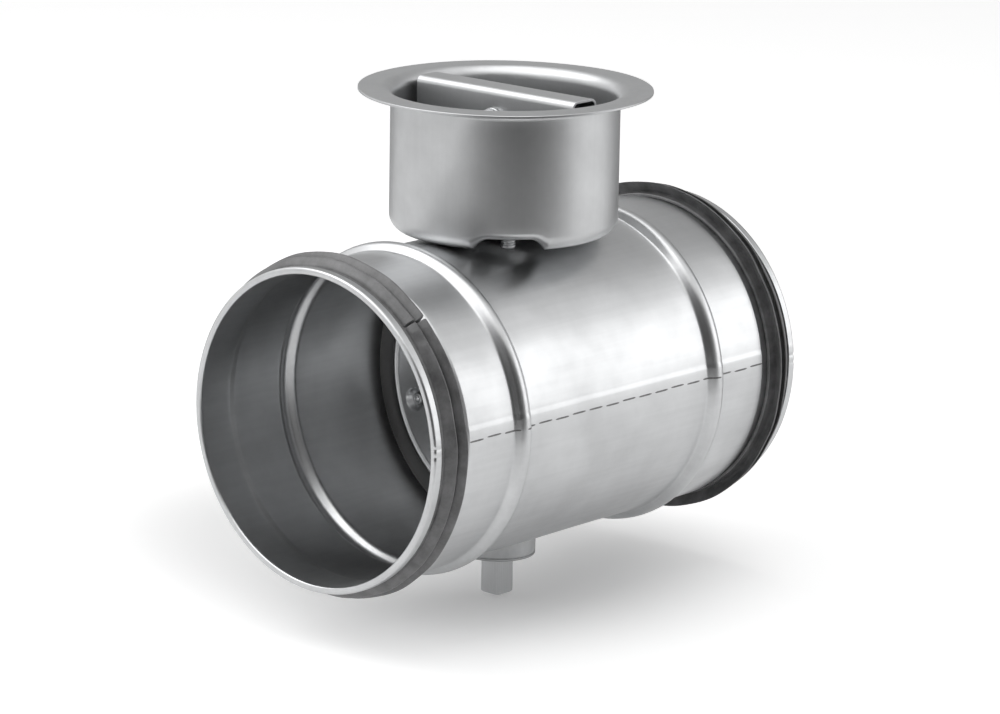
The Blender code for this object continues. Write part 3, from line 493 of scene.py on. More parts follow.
# Each stitch is a lens: domed on top across and along, flat and sunk underneath
count = int(2 * STITCH_REACH / STITCH_PITCH)
middles = ((np.arange(count) - (count - 1) / 2) * STITCH_PITCH)[:, None, None]
reach = np.linspace(-0.98, 0.98, 11)[:, None]
ring = circle(30)
across, above = np.cos(ring), np.maximum(np.sin(ring), 0)
below = np.minimum(np.sin(ring), 0)
x = middles + reach * STITCH_LENGTH / 2
rise, offset = bead_profile(0.0)
step_share = (np.abs(x) - STEP_START) / (STEP_FOOT - STEP_START)
skin = (TUBE_RADIUS + np.interp(np.abs(x), BEAD_X + offset, rise)
        + SEAM_LIFT * (1 - NECK_SQUEEZE * on_neck(x))
        - (TUBE_RADIUS - NECK_RADIUS) * np.interp(step_share, STEP_SHARES, STEP_DROPS)
        + out_of_true(math.radians(WELD_ANGLE), x))
narrow = np.sqrt(1 - np.abs(reach) ** 5) * STITCH_HALF_WIDTH
wander = STITCH_WANDER * np.sin(WANDER_PITCH * middles)
angle = math.radians(WELD_ANGLE) + (across * narrow + wander) / TUBE_RADIUS
radius = skin + STITCH_HEIGHT * above * (1 - reach ** 6) + STITCH_DEPTH * below
stitches = grid_mesh("seam_weld", x + 0 * ring, -radius * np.cos(angle), radius * np.sin(angle),
                     sharp=60)

# Burnt zinc: dark grey and dull where the electrode boiled the coating off
burnt, tree, place = blank_material("burnt_zinc")
mottle = node(tree, "TexNoise", {"Vector": place, "Scale": 700.0, "Detail": 3.0})
colour = node(tree, "Mix", {0: mottle, 6: linear("505050"), 7: linear("8E8E8E")}, data_type="RGBA")
shader = node(tree, "BsdfPrincipled", {"Base Color": colour.outputs[2], "Metallic": 0.8,
                                       "Roughness": 0.5})
node(tree, "OutputMaterial", {"Surface": shader})
piece("seam_weld", stitches, burnt, "duct_body", False)

# ---------------------------------------------------------------------------
# Gaskets. Extruded EPDM strip with two lips that lean back from the rim, its
# tongue rolled into the hem, its ends butted where the strip was cut.
STRIP_FOOT = 0.06095
STRIP_TONGUE = 0.0617
STRIP_BACK = 0.0625
STRIP_END = 0.0152
TONGUE_END = 0.0039
LOW_LIP = (0.0062, 0.0088, 0.0656)
HIGH_LIP = (0.0108, 0.0134, 0.0667)
LIP_THICKNESS = 0.0011
LIP_VALLEY = (0.0080, 0.0098)
STRIP_SLOPE = 0.0126
JOINT_ANGLES = {"gasket_inlet": 48.5, "gasket_outlet": 205.0}
JOINT_WAIST = 0.0098
CREASE_DEPTH = 0.0005
CREASE_LEAN = 0.00045


def lip_run(root, tip, height):
    """Up one side of a lip and down the other; it curves back and thins to a round tip."""
    share = np.linspace(0, 1, 9)
    middle = root + (tip - root) * share ** 1.5
    thick = LIP_THICKNESS * (1.15 - 0.45 * share)
    rise = STRIP_BACK + (height - STRIP_BACK) * share
    crest = (np.array([height + 0.0001, height + 0.0001]), np.array([tip - 0.00012, tip + 0.00018]))
    return (rise, middle - thick / 2), crest, (rise[::-1], (middle + thick / 2)[::-1])


def rubber_finish(name, dark, light):
    """EPDM rubber: smooth from the die, with a dusty bloom in patches between two greys."""
    material, tree, place = blank_material(name)
    bloom = node(tree, "TexNoise", {"Vector": place, "Scale": 110.0, "Detail": 4.0,
                                    "Roughness": 0.65})
    pores = node(tree, "TexNoise", {"Vector": place, "Scale": 1400.0, "Detail": 2.0})
    patches = node(tree, "MapRange", {"Value": bloom, "From Min": 0.32, "From Max": 0.7})
    colour = node(tree, "Mix", {0: patches, 6: linear(dark), 7: linear(light)}, data_type="RGBA")
    matt = node(tree, "MapRange", {"Value": bloom, "From Min": 0.3, "From Max": 0.7, "To Min": 0.29,
                                   "To Max": 0.45})
    skin_bump = node(tree, "Bump", {"Height": pores, "Strength": 0.3, "Distance": 0.00003})
    shader = node(tree, "BsdfPrincipled", {"Base Color": colour.outputs[2], "Roughness": matt,
                                           "IOR": 1.6, "Sheen Weight": 0.12, "Sheen Roughness": 0.4,
                                           "Normal": skin_bump})
    node(tree, "OutputMaterial", {"Surface": shader})
    return material


# The strip is a charcoal grey made paler to stand in for the sheen it shows at
# grazing angles, a painted sheen, with the bloom in nine millimetre patches and
# the die's pores under a millimetre
rubber = rubber_finish("epdm_strip", "565657", "808081")

strip_radius, inset = column(
    (STRIP_FOOT, np.linspace(STRIP_END, HEM_NOSE, 5)), (STRIP_TONGUE, HEM_NOSE),
    (STRIP_TONGUE, TONGUE_END), (STRIP_BACK - 0.0001, TONGUE_END + 0.0002),
    (STRIP_BACK, TONGUE_END + 0.0005), *lip_run(*LOW_LIP),
    (STRIP_BACK - 0.0003, np.linspace(*LIP_VALLEY, 3)), *lip_run(*HIGH_LIP),
    (STRIP_BACK - 0.0004, np.linspace(STRIP_SLOPE, STRIP_END - 0.0003, 4)),
    (STRIP_BACK - 0.0007, STRIP_END))
lip = ease((strip_radius - STRIP_BACK) / 0.0012)
proud = strip_radius > STRIP_FOOT + 0.0001
beside_joint = np.array([0.25, 0.5, 0.8, 1.1, 1.4, 1.7, 2, 2.4, 3, 4, 6])
off = np.concatenate([-beside_joint[::-1], [0], beside_joint, np.arange(8, 353, 1.5)])[None, :]
# The butted ends gape like a bow tie: wide at the two edges, shut at the strip's waist
open_width = 0.20 + 0.26 * np.abs(inset - JOINT_WAIST) / 0.005
gap = np.exp(-((off / open_width) ** 4)) * proud
# Just before the joint the lips are creased, where the strip was stretched into the hem
crease = dents(off, (1, -6.5, 0.7)) * lip
for name, side in (("gasket_inlet", -1), ("gasket_outlet", 1)):
    turn = np.radians(JOINT_ANGLES[name] + off)
    sway = waves(turn, 0, (0.00016, 4, 0, 1.0), (0.00012, 11, 0, 2.0), (0.00007, 23, 0, 0)) * lip
    ripple = waves(turn, 0, (0.00010, 17, 0, 0.6)) * lip
    radius = (strip_radius - (strip_radius - STRIP_BACK + 0.0002) * gap + ripple
              - CREASE_DEPTH * crease)
    distance = inset + sway + CREASE_LEAN * crease
    mesh = grid_mesh(name, side * (HALF_LENGTH - distance), -radius * np.cos(turn),
                     radius * np.sin(turn), True)
    piece(name, mesh, rubber, "duct_body")

# ---------------------------------------------------------------------------
# Cup. One blank of steel, deep drawn with a round corner, its rim turned out
# flat and a notch pressed up in its floor for the lock screw; riveted down.
CUP_RADIUS = 0.0446
CUP_SHEET = 0.0010
CUP_BOTTOM = 0.0623
CUP_TOP = 0.1183
CUP_CORNER = 0.0060
NOTCH_CORNER = 0.0030
CORNER_ROWS = 11
FLANGE_RADIUS = 0.0573
FLARE_RADIUS = 0.0050
NOTCH_HEIGHT = 0.0048
NOTCH_TOP = 0.0168
NOTCH_FOOT = 0.0305
NOTCH_START = 0.0178
NOTCH_RAMP = 0.0048
NOTCH_DEGREES = 225
NOTCH_ANGLE = math.radians(NOTCH_DEGREES)
RIM_START = 0.0500
RIM_SPAN = 0.0073
RIM_DIP = 0.00012
SHANK_HOLE = 0.0099
LOCK_X = LOCK_Y = -0.033 * math.sqrt(0.5)
LOCK_HOLE = 0.0033
NOTCH_CUT = (0.0600, 0.0700)
FLOOR_CUT = (0.0615, 0.0640)


def shoulder(share):
    """A quarter sine from 0 to 1: it leaves its foot at a slope and rounds over at the top."""
    return np.sin(np.clip(share, 0, 1) * np.pi / 2)


def cup_surface(turn, offset):
    """One face of the cup from the shaft's hole out to the flange's edge.

    offset is 0 underneath and the sheet's thickness on top. The floor rises in the
    notch by a round shoulder at each side and an S curve in from its ramp, and the
    corner tightens there."""
    across = np.abs(np.sin(turn - NOTCH_ANGLE)) * CUP_RADIUS
    facing = np.cos(turn - NOTCH_ANGLE) > 0
    side = shoulder((NOTCH_FOOT / 2 - across) / ((NOTCH_FOOT - NOTCH_TOP) / 2)) * facing
    corner = CUP_CORNER + (NOTCH_CORNER - CUP_CORNER) * side
    inner_radius = CUP_RADIUS - corner
    share = np.linspace(0, 1, 15)[:, None]
    floor_radius = SHANK_HOLE + (inner_radius - SHANK_HOLE) * share
    across_floor = np.abs(np.sin(turn - NOTCH_ANGLE)) * floor_radius
    forward = np.cos(turn - NOTCH_ANGLE) * floor_radius
    rise = (shoulder((NOTCH_FOOT / 2 - across_floor) / ((NOTCH_FOOT - NOTCH_TOP) / 2))
            * ease((forward - NOTCH_START) / NOTCH_RAMP))
    floor_height = CUP_BOTTOM + offset + NOTCH_HEIGHT * rise
    sweep = np.linspace(0, np.pi / 2, CORNER_ROWS)[1:, None]
    lift = NOTCH_HEIGHT * side
    corner_radius = inner_radius + (corner - offset) * np.sin(sweep)
    corner_height = CUP_BOTTOM + corner + lift - (corner - offset) * np.cos(sweep)
    wall_foot = corner_height[-1:]
    flare_centre = CUP_RADIUS - CUP_SHEET + FLARE_RADIUS
    flare_low = CUP_TOP - FLARE_RADIUS
    wall_share = np.linspace(0, 1, 14)[1:-1, None]
    wall_height = wall_foot + (flare_low - wall_foot) * wall_share
    sweep = np.linspace(0, np.pi / 2, 10)[:, None]
    bend_radius = FLARE_RADIUS - CUP_SHEET + offset
    flare_radius = flare_centre - bend_radius * np.cos(sweep)
    flare_height = flare_low + bend_radius * np.sin(sweep)
    flange_share = np.linspace(0, 1, 8)[1:, None]
    flange_radius = flare_centre + (FLANGE_RADIUS - 0.0002 - flare_centre) * flange_share
    flat = np.ones_like(turn)
    radius = np.concatenate([floor_radius, corner_radius,
                             (CUP_RADIUS - offset) * flat * np.ones_like(wall_share),
                             flare_radius * flat, flange_radius * flat])
    height = np.concatenate([floor_height, corner_height, wall_height, flare_height * flat,
                             (CUP_TOP - CUP_SHEET + offset) * flat * np.ones_like(flange_share)])
    return radius, height


# Columns are closer over the notch
degrees = NOTCH_DEGREES + np.concatenate([np.arange(-33, 33.1, 0.75), np.arange(35, 326, 2.5)])
turn = np.radians(degrees)[None, :]
under = cup_surface(turn, 0.0)
over = cup_surface(turn, CUP_SHEET)
edge_height = CUP_TOP - CUP_SHEET * np.array([0.85, 0.5, 0.15])[:, None]
edge_radius = FLANGE_RADIUS + np.zeros((3, 1))
flat = np.ones_like(turn)
radius = np.concatenate([under[0], edge_radius * flat, over[0][::-1]])
height = np.concatenate([under[1], edge_height * flat, over[1][::-1]])
# The trimmed rim is never quite flat: it dips by a tenth or two of a millimetre
rim_share = ease((radius - RIM_START) / RIM_SPAN)
height = height - rim_share * RIM_DIP * (1 + waves(turn, 0, (0.6, 2, 0, 0.6), (0.4, 5, 0, 0)))
cup_mesh = grid_mesh("cup", radius * np.cos(turn), radius * np.sin(turn), height, True)

# Drawn steel: a satin grey with the faint upright lines that the die leaves on the
# wall, a millimetre apart, and the cloudy skin of the press oil in two centimetres
drawn, tree, place = blank_material("drawn_steel")
upright = node(tree, "Mapping", {"Vector": place, "Scale": (900, 900, 20)})
lines = node(tree, "TexNoise", {"Vector": upright, "Scale": 1.0, "Detail": 2.0})
clouds = node(tree, "TexNoise", {"Vector": place, "Scale": 50.0, "Detail": 4.0, "Roughness": 0.6})
shade = node(tree, "Math", {0: lines, 1: 0.15, 2: clouds}, operation="MULTIPLY_ADD")
tint = node(tree, "MapRange", {"Value": shade, "From Min": 0.35, "From Max": 0.8})
colour = node(tree, "Mix", {0: tint, 6: linear("BCBDBE"), 7: linear("C9CACB")}, data_type="RGBA")
satin = node(tree, "MapRange", {"Value": tint, "To Min": 0.42, "To Max": 0.37})
grain = node(tree, "Bump", {"Height": lines, "Strength": 0.15, "Distance": 0.00002})
shader = node(tree, "BsdfPrincipled", {"Base Color": colour.outputs[2], "Metallic": 1.0,
                                       "Roughness": satin, "Normal": grain})
node(tree, "OutputMaterial", {"Surface": shader})

cup = piece("cup", cup_mesh, drawn, "duct_body")
cut_away(cup, posts("Z", (LOCK_X, LOCK_Y, 0, LOCK_HOLE, *NOTCH_CUT),
                    *((x, 0, 0, RIVET_HOLE, *FLOOR_CUT) for x in RIVET_PLACES)))

# ---------------------------------------------------------------------------
# Cup rivets. Zinc plated blind rivets through the cup's floor and the crown of
# the tube: a domed head above, a mandrel hole in it, and a swollen tail below.
RIVET_SHANK = 0.0016
RIVET_HEAD = 0.0033
RIVET_TAIL = 0.0023
RIVET_SEAT = 0.0636
RIVET_TOP = 0.0648
RIVET_BOTTOM = 0.0588
RIVET_TAIL_TOP = 0.0610
MANDREL = 0.0009
MANDREL_DEPTH = 0.0007

# Bright zinc plate: a thin, slightly uneven mirror over steel, clouded from handling
# in patches of three millimetres
bright, tree, place = blank_material("bright_zinc")
mottle = node(tree, "TexNoise", {"Vector": place, "Scale": 320.0, "Detail": 3.0})
colour = node(tree, "Mix", {0: mottle, 6: linear("BFC0C1"), 7: linear("DADBDC")}, data_type="RGBA")
polish = node(tree, "MapRange", {"Value": mottle, "To Min": 0.46, "To Max": 0.32})
shader = node(tree, "BsdfPrincipled", {"Base Color": colour.outputs[2], "Metallic": 1.0,
                                       "Roughness": polish})
node(tree, "OutputMaterial", {"Surface": shader})

dome = np.linspace(0, 1, 7)
rivet_radius, rivet_height = column(
    (0.0002, RIVET_TOP - MANDREL_DEPTH), (MANDREL * 0.9, RIVET_TOP - MANDREL_DEPTH),
    (MANDREL, RIVET_TOP - 0.0001),
    (MANDREL + (RIVET_HEAD - 0.0001 - MANDREL) * dome,
     RIVET_TOP - (RIVET_TOP - RIVET_SEAT - 0.0003) * dome ** 2),
    (RIVET_HEAD, RIVET_SEAT + 0.00015), (RIVET_HEAD - 0.00015, RIVET_SEAT),
    (RIVET_SHANK, RIVET_SEAT), (RIVET_SHANK, RIVET_TAIL_TOP),
    (RIVET_TAIL - 0.0002, RIVET_TAIL_TOP - 0.0001), (RIVET_TAIL, RIVET_TAIL_TOP - 0.0005),
    (RIVET_TAIL - 0.0001, RIVET_BOTTOM + 0.0009), (RIVET_SHANK, RIVET_BOTTOM + 0.0002),
    (0.0010, RIVET_BOTTOM))
for number, x in enumerate(RIVET_PLACES, 1):
    mesh = spun("rivet", rivet_radius, rivet_height, circle(10), "Z", (x, 0, 0))
    piece(f"cup_rivet_{number}", mesh, bright, "duct_body")

# ---------------------------------------------------------------------------
# Bearings. Cast zinc bushes for the shaft: a flanged one through the cup's floor
# and the tube, and a round boss saddled on the tube's underside.
BEARING_BORE = 0.0076
BEARING_SHANK = 0.0096
BEARING_FLANGE = 0.0150
BEARING_EDGE = 0.0006
SHANK_END = 0.06054
FLANGE_BASE = 0.0636
FLANGE_TOP = 0.0661
BOSS_FACE = 0.0686
BOSS_LIP = 0.0011
SADDLE = 0.0623
SADDLE_BREAK = 0.0005

# Cast zinc: grey and mottled, with the fine orange peel of the die and no streaks
cast, tree, place = blank_material("cast_zinc")
mottle = node(tree, "TexNoise", {"Vector": place, "Scale": 420.0, "Detail": 4.0})
orange_peel = node(tree, "TexNoise", {"Vector": place, "Scale": 1500.0, "Detail": 2.0})
colour = node(tree, "Mix", {0: mottle, 6: linear("A0A1A2"), 7: linear("B4B5B6")}, data_type="RGBA")
grain = node(tree, "Bump", {"Height": orange_peel, "Strength": 0.25, "Distance": 0.00003})
shader = node(tree, "BsdfPrincipled", {"Base Color": colour.outputs[2], "Metallic": 1.0,
                                       "Roughness": 0.42, "Normal": grain})
node(tree, "OutputMaterial", {"Surface": shader})

turn = circle(3)[None, :]
rounding = BEARING_FLANGE - BEARING_EDGE
upper_radius, upper_height = column(
    (BEARING_BORE, np.array([SHANK_END + 0.0003, FLANGE_TOP - 0.0004])),
    (BEARING_BORE + 0.0004, FLANGE_TOP), (rounding, FLANGE_TOP),
    bend((rounding, FLANGE_TOP - BEARING_EDGE), BEARING_EDGE, 75, 0, 6),
    (BEARING_FLANGE, FLANGE_BASE), (BEARING_SHANK, FLANGE_BASE),
    (BEARING_SHANK, SHANK_END + 0.0004), (BEARING_SHANK - 0.0004, SHANK_END),
    (BEARING_BORE + 0.0003, SHANK_END))
mesh = spun("bearing", upper_radius, upper_height, turn, rows_meet=True)
piece("upper_bearing", mesh, cast, "duct_body")

# The boss's top follows the tube: its height there is the saddle's circle over each
# point's y, and its outer edge is broken
reach = np.linspace(BEARING_SHANK, BEARING_FLANGE, 6)[:, None]
saddle_height = (-np.sqrt(SADDLE ** 2 - (reach * np.sin(turn)) ** 2)
                 - SADDLE_BREAK * (reach == BEARING_FLANGE))
lip_line = -BOSS_FACE + BOSS_LIP
lower_radius, lower_height = column(
    (BEARING_FLANGE, lip_line + 0.0004), (BEARING_FLANGE - 0.0003, lip_line + 0.0002),
    (BEARING_FLANGE - 0.0003, lip_line), (BEARING_FLANGE, lip_line - 0.0002),
    bend((rounding, -BOSS_FACE + BEARING_EDGE), BEARING_EDGE, 0, -90, 7),
    (BEARING_BORE + 0.0004, -BOSS_FACE), (BEARING_BORE, -BOSS_FACE + 0.0004),
    (BEARING_BORE, -SHANK_END - 0.0003), (BEARING_BORE + 0.0003, -SHANK_END),
    (BEARING_SHANK - 0.0004, -SHANK_END), (BEARING_SHANK, -SHANK_END - 0.0004))
flat = np.ones_like(turn)
mesh = spun("boss", np.concatenate([reach * flat, lower_radius * flat]),
            np.concatenate([saddle_height, lower_height * flat]), turn, rows_meet=True)
piece("lower_bearing", mesh, cast, "duct_body")

# ---------------------------------------------------------------------------
# Lock. A hexagon screw through the lock plate's slot, a washer and a nut on the
# cup's raised floor; its end comes out under the notch. Zinc plated steel.
LOCK_FLATS = 0.0100
LOCK_RADIUS = 0.0030
LOCK_NUT = (0.0684, 0.0730)
LOCK_WASHER = (0.0751, 0.0763)
LOCK_WASHER_RADIUS = 0.0062
LOCK_HEAD = (0.0766, 0.0806)
LOCK_FACE = 0.0030
LOCK_TIP = 0.0620
LOCK_PITCH = 0.0010
THREAD_DEPTH = 0.12
CONE_SHARE = 0.475
TAN_30 = 0.5774
COT_30 = 1.732


def hexagon(turn, flats):
    """Distance to a six-sided outline: half the flats over the cosine from the nearest flat."""
    return flats / 2 / np.cos((turn + np.pi / 6) % (np.pi / 3) - np.pi / 6)


def hexagon_rows(flats, low, high, turn):
    """Rows up a hexagon whose corners are turned off by a thirty degree cone at both ends."""
    cone = flats * CONE_SHARE
    depth = np.linspace(0, (flats * TAN_30 - cone) * TAN_30, 5)[:, None]
    chamfered = np.minimum(hexagon(turn, flats), cone + depth * COT_30)
    places = np.concatenate([low + depth, high - depth[::-1]])
    return np.concatenate([chamfered, chamfered[::-1]]), places


def thread(radius, along, turn, pitch, fades):
    """A screw thread: the radius dips as a triangle wave that climbs one pitch a turn.

    It fades out within a pitch of the two places in fades."""
    wave = np.abs((along / pitch - turn / (2 * np.pi)) % 1 * 2 - 1)
    start, end = fades
    strength = ease((along - start) / pitch) * ease((end - along) / pitch)
    return radius * (1 - THREAD_DEPTH * wave * strength)


def ring_rows(inner, outer, low, high, edge):
    """Closed section of a flat ring with all four edges taken off."""
    return column((np.array([inner, inner + edge, outer - edge, outer,
                             outer, outer - edge, inner + edge, inner]),
                   np.array([low + edge, low, low, low + edge,
                             high - edge, high, high, high - edge])))


def nut_mesh(flats, bore_radius, low, high, turn, axis, centre, facing=0.0, sink=0.0004):
    """A hexagon nut: its chamfered flats and a bore that is countersunk at both ends."""
    rows, places = hexagon_rows(flats, low, high, turn - facing)
    bore_rows = bore_radius + np.array([sink, 0, 0, sink])[:, None] * np.ones_like(turn)
    bore_places = np.array([high, high - sink, low + sink, low])[:, None]
    return spun("nut", np.concatenate([rows, bore_rows]), np.concatenate([places, bore_places]),
                turn, axis, centre, True)


turn = circle(2.5)[None, :]
lock_place = (LOCK_X, LOCK_Y, 0)
mesh = nut_mesh(LOCK_FLATS, LOCK_RADIUS + 0.0001, *LOCK_NUT, turn, "Z", lock_place, math.pi / 4)
piece("lock_nut", mesh, bright, "duct_body")
mesh = spun("washer", *ring_rows(LOCK_RADIUS + 0.0003, LOCK_WASHER_RADIUS, *LOCK_WASHER, 0.0002),
            turn, "Z", lock_place, True)
piece("lock_washer", mesh, bright, "duct_body")
head_rows, head_places = hexagon_rows(LOCK_FLATS, *LOCK_HEAD, turn - math.pi / 4)
shank_places = np.linspace(LOCK_HEAD[0], LOCK_TIP + 0.0006, 120)[:, None]
shank_rows = thread(LOCK_RADIUS, shank_places, turn, LOCK_PITCH, (LOCK_TIP + 0.0002, LOCK_HEAD[0]))
tip_rows, tip_places = column((LOCK_RADIUS - 0.0008, LOCK_TIP), (0.0006, LOCK_TIP))
top_rows, top_places = column((0.0005, LOCK_HEAD[1]), (LOCK_FACE, LOCK_HEAD[1]))
flat = np.ones_like(turn)
rows = np.concatenate([top_rows * flat, head_rows[::-1], shank_rows, tip_rows * flat])
places = np.concatenate([top_places, head_places[::-1], shank_places, tip_places])
mesh = spun("lock", rows, places, turn, "Z", lock_place)
piece("lock_screw", mesh, bright, "duct_body")

# ---------------------------------------------------------------------------
# Shaft. A ten millimetre bar of bright drawn steel, zinc plated, its four
# corners planed off and its ends chamfered.
SHAFT_HALF = 0.0050
SHAFT_CORNER = 0.0012
SHAFT_LOW = -0.0849
SHAFT_HIGH = 0.1161
SHAFT_END = 0.0007
SCRIBE_WIDTH = 0.00050
SCRIBE_DEPTH = 0.00035


def rounded(corners, radius, count=4):
    """A closed outline with every corner turned into an arc.

    Each arc's centre lies on the corner's bisector, radius over the sine of half the
    corner away, and its points slide evenly from one side to the other."""
    corners = np.asarray(corners, float)
    before, after = np.roll(corners, 1, 0) - corners, np.roll(corners, -1, 0) - corners
    before /= np.linalg.norm(before, axis=1, keepdims=True)
    after /= np.linalg.norm(after, axis=1, keepdims=True)
    half = np.arccos(np.clip(np.sum(before * after, 1), -1, 1))[:, None] / 2
    radius = np.broadcast_to(np.reshape(radius, (-1, 1)), half.shape)
    bisector = (before + after) / np.linalg.norm(before + after, axis=1, keepdims=True)
    centre = corners + bisector * radius / np.sin(half)
    start = corners + before * radius / np.tan(half) - centre
    end = corners + after * radius / np.tan(half) - centre
    share = np.linspace(0, 1, count)[None, :, None]
    sweep = (np.pi - 2 * half)[:, :, None]
    arc = (np.sin((1 - share) * sweep) * start[:, None]
           + np.sin(share * sweep) * end[:, None]) / np.sin(sweep)
    return (centre[:, None] + arc).reshape(-1, 2)


def quarter_turns(corners):
    """A quarter of a square outline and the same three more times, each a right angle on."""
    x, y = np.asarray(corners, float).T
    return np.concatenate([np.stack(turned, 1) for turned in ((x, y), (-y, x), (-x, -y), (y, -x))])


# The plane leaves a fine step along both sides of each planed corner
edge = SHAFT_HALF - SHAFT_CORNER
quarter = [(SHAFT_HALF, edge - SCRIBE_WIDTH),
           (SHAFT_HALF - SCRIBE_DEPTH, edge - SCRIBE_WIDTH * 0.3),
           (SHAFT_HALF - 0.0001, edge + 0.0001), (edge + 0.0001, SHAFT_HALF - 0.0001),
           (edge - SCRIBE_WIDTH * 0.3, SHAFT_HALF - SCRIBE_DEPTH),
           (edge - SCRIBE_WIDTH, SHAFT_HALF)]
outline = rounded(quarter_turns(quarter), 0.00004, 3)
shrink = np.array([SHAFT_END, 0.0001, 0, 0, 0.0001, SHAFT_END])[:, None]
places = np.array([SHAFT_LOW, SHAFT_LOW + SHAFT_END - 0.0001, SHAFT_LOW + SHAFT_END + 0.0001,
                   SHAFT_HIGH - SHAFT_END - 0.0001, SHAFT_HIGH - SHAFT_END + 0.0001,
                   SHAFT_HIGH])[:, None]
mesh = grid_mesh("shaft", outline[:, 0] * (1 - shrink / SHAFT_HALF),
                 outline[:, 1] * (1 - shrink / SHAFT_HALF), places)

# Plated bar: bright zinc with the lengthwise lines of the drawing die, drawn half a
# millimetre apart so that they show
bar, tree, place = blank_material("plated_bar")
upright = node(tree, "Mapping", {"Vector": place, "Scale": (2200, 2200, 25)})
lines = node(tree, "TexNoise", {"Vector": upright, "Scale": 1.0, "Detail": 2.0})
colour = node(tree, "Mix", {0: lines, 6: linear("CFD0D1"), 7: linear("E4E5E6")}, data_type="RGBA")
grain = node(tree, "Bump", {"Height": lines, "Strength": 0.3, "Distance": 0.00002})
shader = node(tree, "BsdfPrincipled", {"Base Color": colour.outputs[2], "Metallic": 1.0,
                                       "Roughness": 0.3, "Normal": grain})
node(tree, "OutputMaterial", {"Surface": shader})
piece("shaft", mesh, bar, "blade_body")

# ---------------------------------------------------------------------------
# Sleeves. Black nylon liners, square inside for the bar and round outside for
# the bearings; the upper one has a shoulder that carries the shaft's weight.
SOCKET_HALF = 0.0053
SOCKET_CHAMFER = 0.006647
SLEEVE_RADIUS = 0.0073
SHOULDER = (0.0665, 0.0730)
SHOULDER_RADIUS = 0.0105
LOWER_SLEEVE_END = -0.0692


def socket(turn):
    """Distance from the axis to a square hole with its corners cut off."""
    side = SOCKET_HALF / np.maximum(np.abs(np.cos(turn)), np.abs(np.sin(turn)))
    return np.minimum(side, SOCKET_CHAMFER / np.cos(turn % (np.pi / 2) - np.pi / 4))


# Moulded nylon: near black, with the soft even gloss of a steel mould
nylon, tree, place = blank_material("black_nylon")
mottle = node(tree, "TexNoise", {"Vector": place, "Scale": 900.0, "Detail": 2.0})
colour = node(tree, "Mix", {0: mottle, 6: linear("161616"), 7: linear("242424")}, data_type="RGBA")
gloss = node(tree, "MapRange", {"Value": mottle, "To Min": 0.42, "To Max": 0.56})
shader = node(tree, "BsdfPrincipled", {"Base Color": colour.outputs[2], "Roughness": gloss,
                                       "IOR": 1.53})
node(tree, "OutputMaterial", {"Surface": shader})

# Each sleeve's outside from its lower end up, with its edges taken off
SLEEVES = {
    "upper_sleeve": (
        (SLEEVE_RADIUS - 0.0003, SHANK_END), (SLEEVE_RADIUS, SHANK_END + 0.0003),
        (SLEEVE_RADIUS, SHOULDER[0]), (SHOULDER_RADIUS - 0.0003, SHOULDER[0]),
        (SHOULDER_RADIUS, SHOULDER[0] + 0.0003), (SHOULDER_RADIUS, SHOULDER[1] - 0.0005),
        (SHOULDER_RADIUS - 0.0005, SHOULDER[1])),
    "lower_sleeve": (
        (SLEEVE_RADIUS - 0.0003, LOWER_SLEEVE_END), (SLEEVE_RADIUS, LOWER_SLEEVE_END + 0.0003),
        (SLEEVE_RADIUS, -SHANK_END - 0.0003), (SLEEVE_RADIUS - 0.0003, -SHANK_END))}
turn = circle(3)[None, :]
flat = np.ones_like(turn)
for name, outside in SLEEVES.items():
    outer_radius, outer_place = column(*outside)
    hole = socket(turn) * np.ones((2, 1))
    mesh = spun("sleeve", np.concatenate([outer_radius * flat, hole]),
                np.concatenate([outer_place, outer_place[[-1, 0]]]), turn, rows_meet=True)
    piece(name, mesh, nylon, "blade_body")

# ---------------------------------------------------------------------------
# Blade seal. An EPDM ring gripped between the discs; its edge leans over against
# the duct wall, and it thickens into a collar round each end of the shaft.
SEAL_INNER = 0.0502
SEAL_OUTER = 0.0610
SEAL_HALF = 0.0017
SEAL_LIP_HALF = 0.0007
SEAL_LIP_ROOT = 0.0555
SEAL_LEAN = 0.0034
COLLAR_RADIUS = 0.0083
COLLAR_START = 0.0548
COLLAR_END = 0.06024
COLLAR_STEP = 0.0006
COLLAR_SIDE = 0.0125
COLLAR_BLEND = 0.0040
SEAL_CUT = 0.0620

# Columns are closer at the collars; the lean dies out beside them
fine = np.concatenate([np.arange(-12, 12.1, 0.5), np.arange(14, 167, 2)])
turn = np.radians(np.concatenate([fine + 90, fine + 270]))[None, :]
reach = np.concatenate([np.linspace(SEAL_INNER, COLLAR_START - 0.0006, 4),
                        np.linspace(COLLAR_START - 0.0003, SEAL_OUTER, 22)])[:, None]
y, z = reach * np.cos(turn), reach * np.sin(turn)
lip_share = np.clip((reach - SEAL_LIP_ROOT) / (SEAL_OUTER - SEAL_LIP_ROOT), 0, 1)
half = SEAL_HALF + (SEAL_LIP_HALF - SEAL_HALF) * lip_share
in_collar = ease((np.abs(z) - COLLAR_START + COLLAR_STEP / 2) / COLLAR_STEP)
collar_half = np.sqrt(np.clip(COLLAR_RADIUS ** 2 - y ** 2, 0, None)) * in_collar
lean = -SEAL_LEAN * lip_share ** 1.4 * (1 - ease((COLLAR_SIDE - np.abs(y)) / COLLAR_BLEND))
front, behind = lean - np.maximum(half, collar_half), lean + np.maximum(half, collar_half)
z = np.clip(z, -COLLAR_END, COLLAR_END)
mesh = grid_mesh("seal", np.concatenate([front, behind[::-1]]), np.concatenate([y, y[::-1]]),
                 np.concatenate([z, z[::-1]]), True)
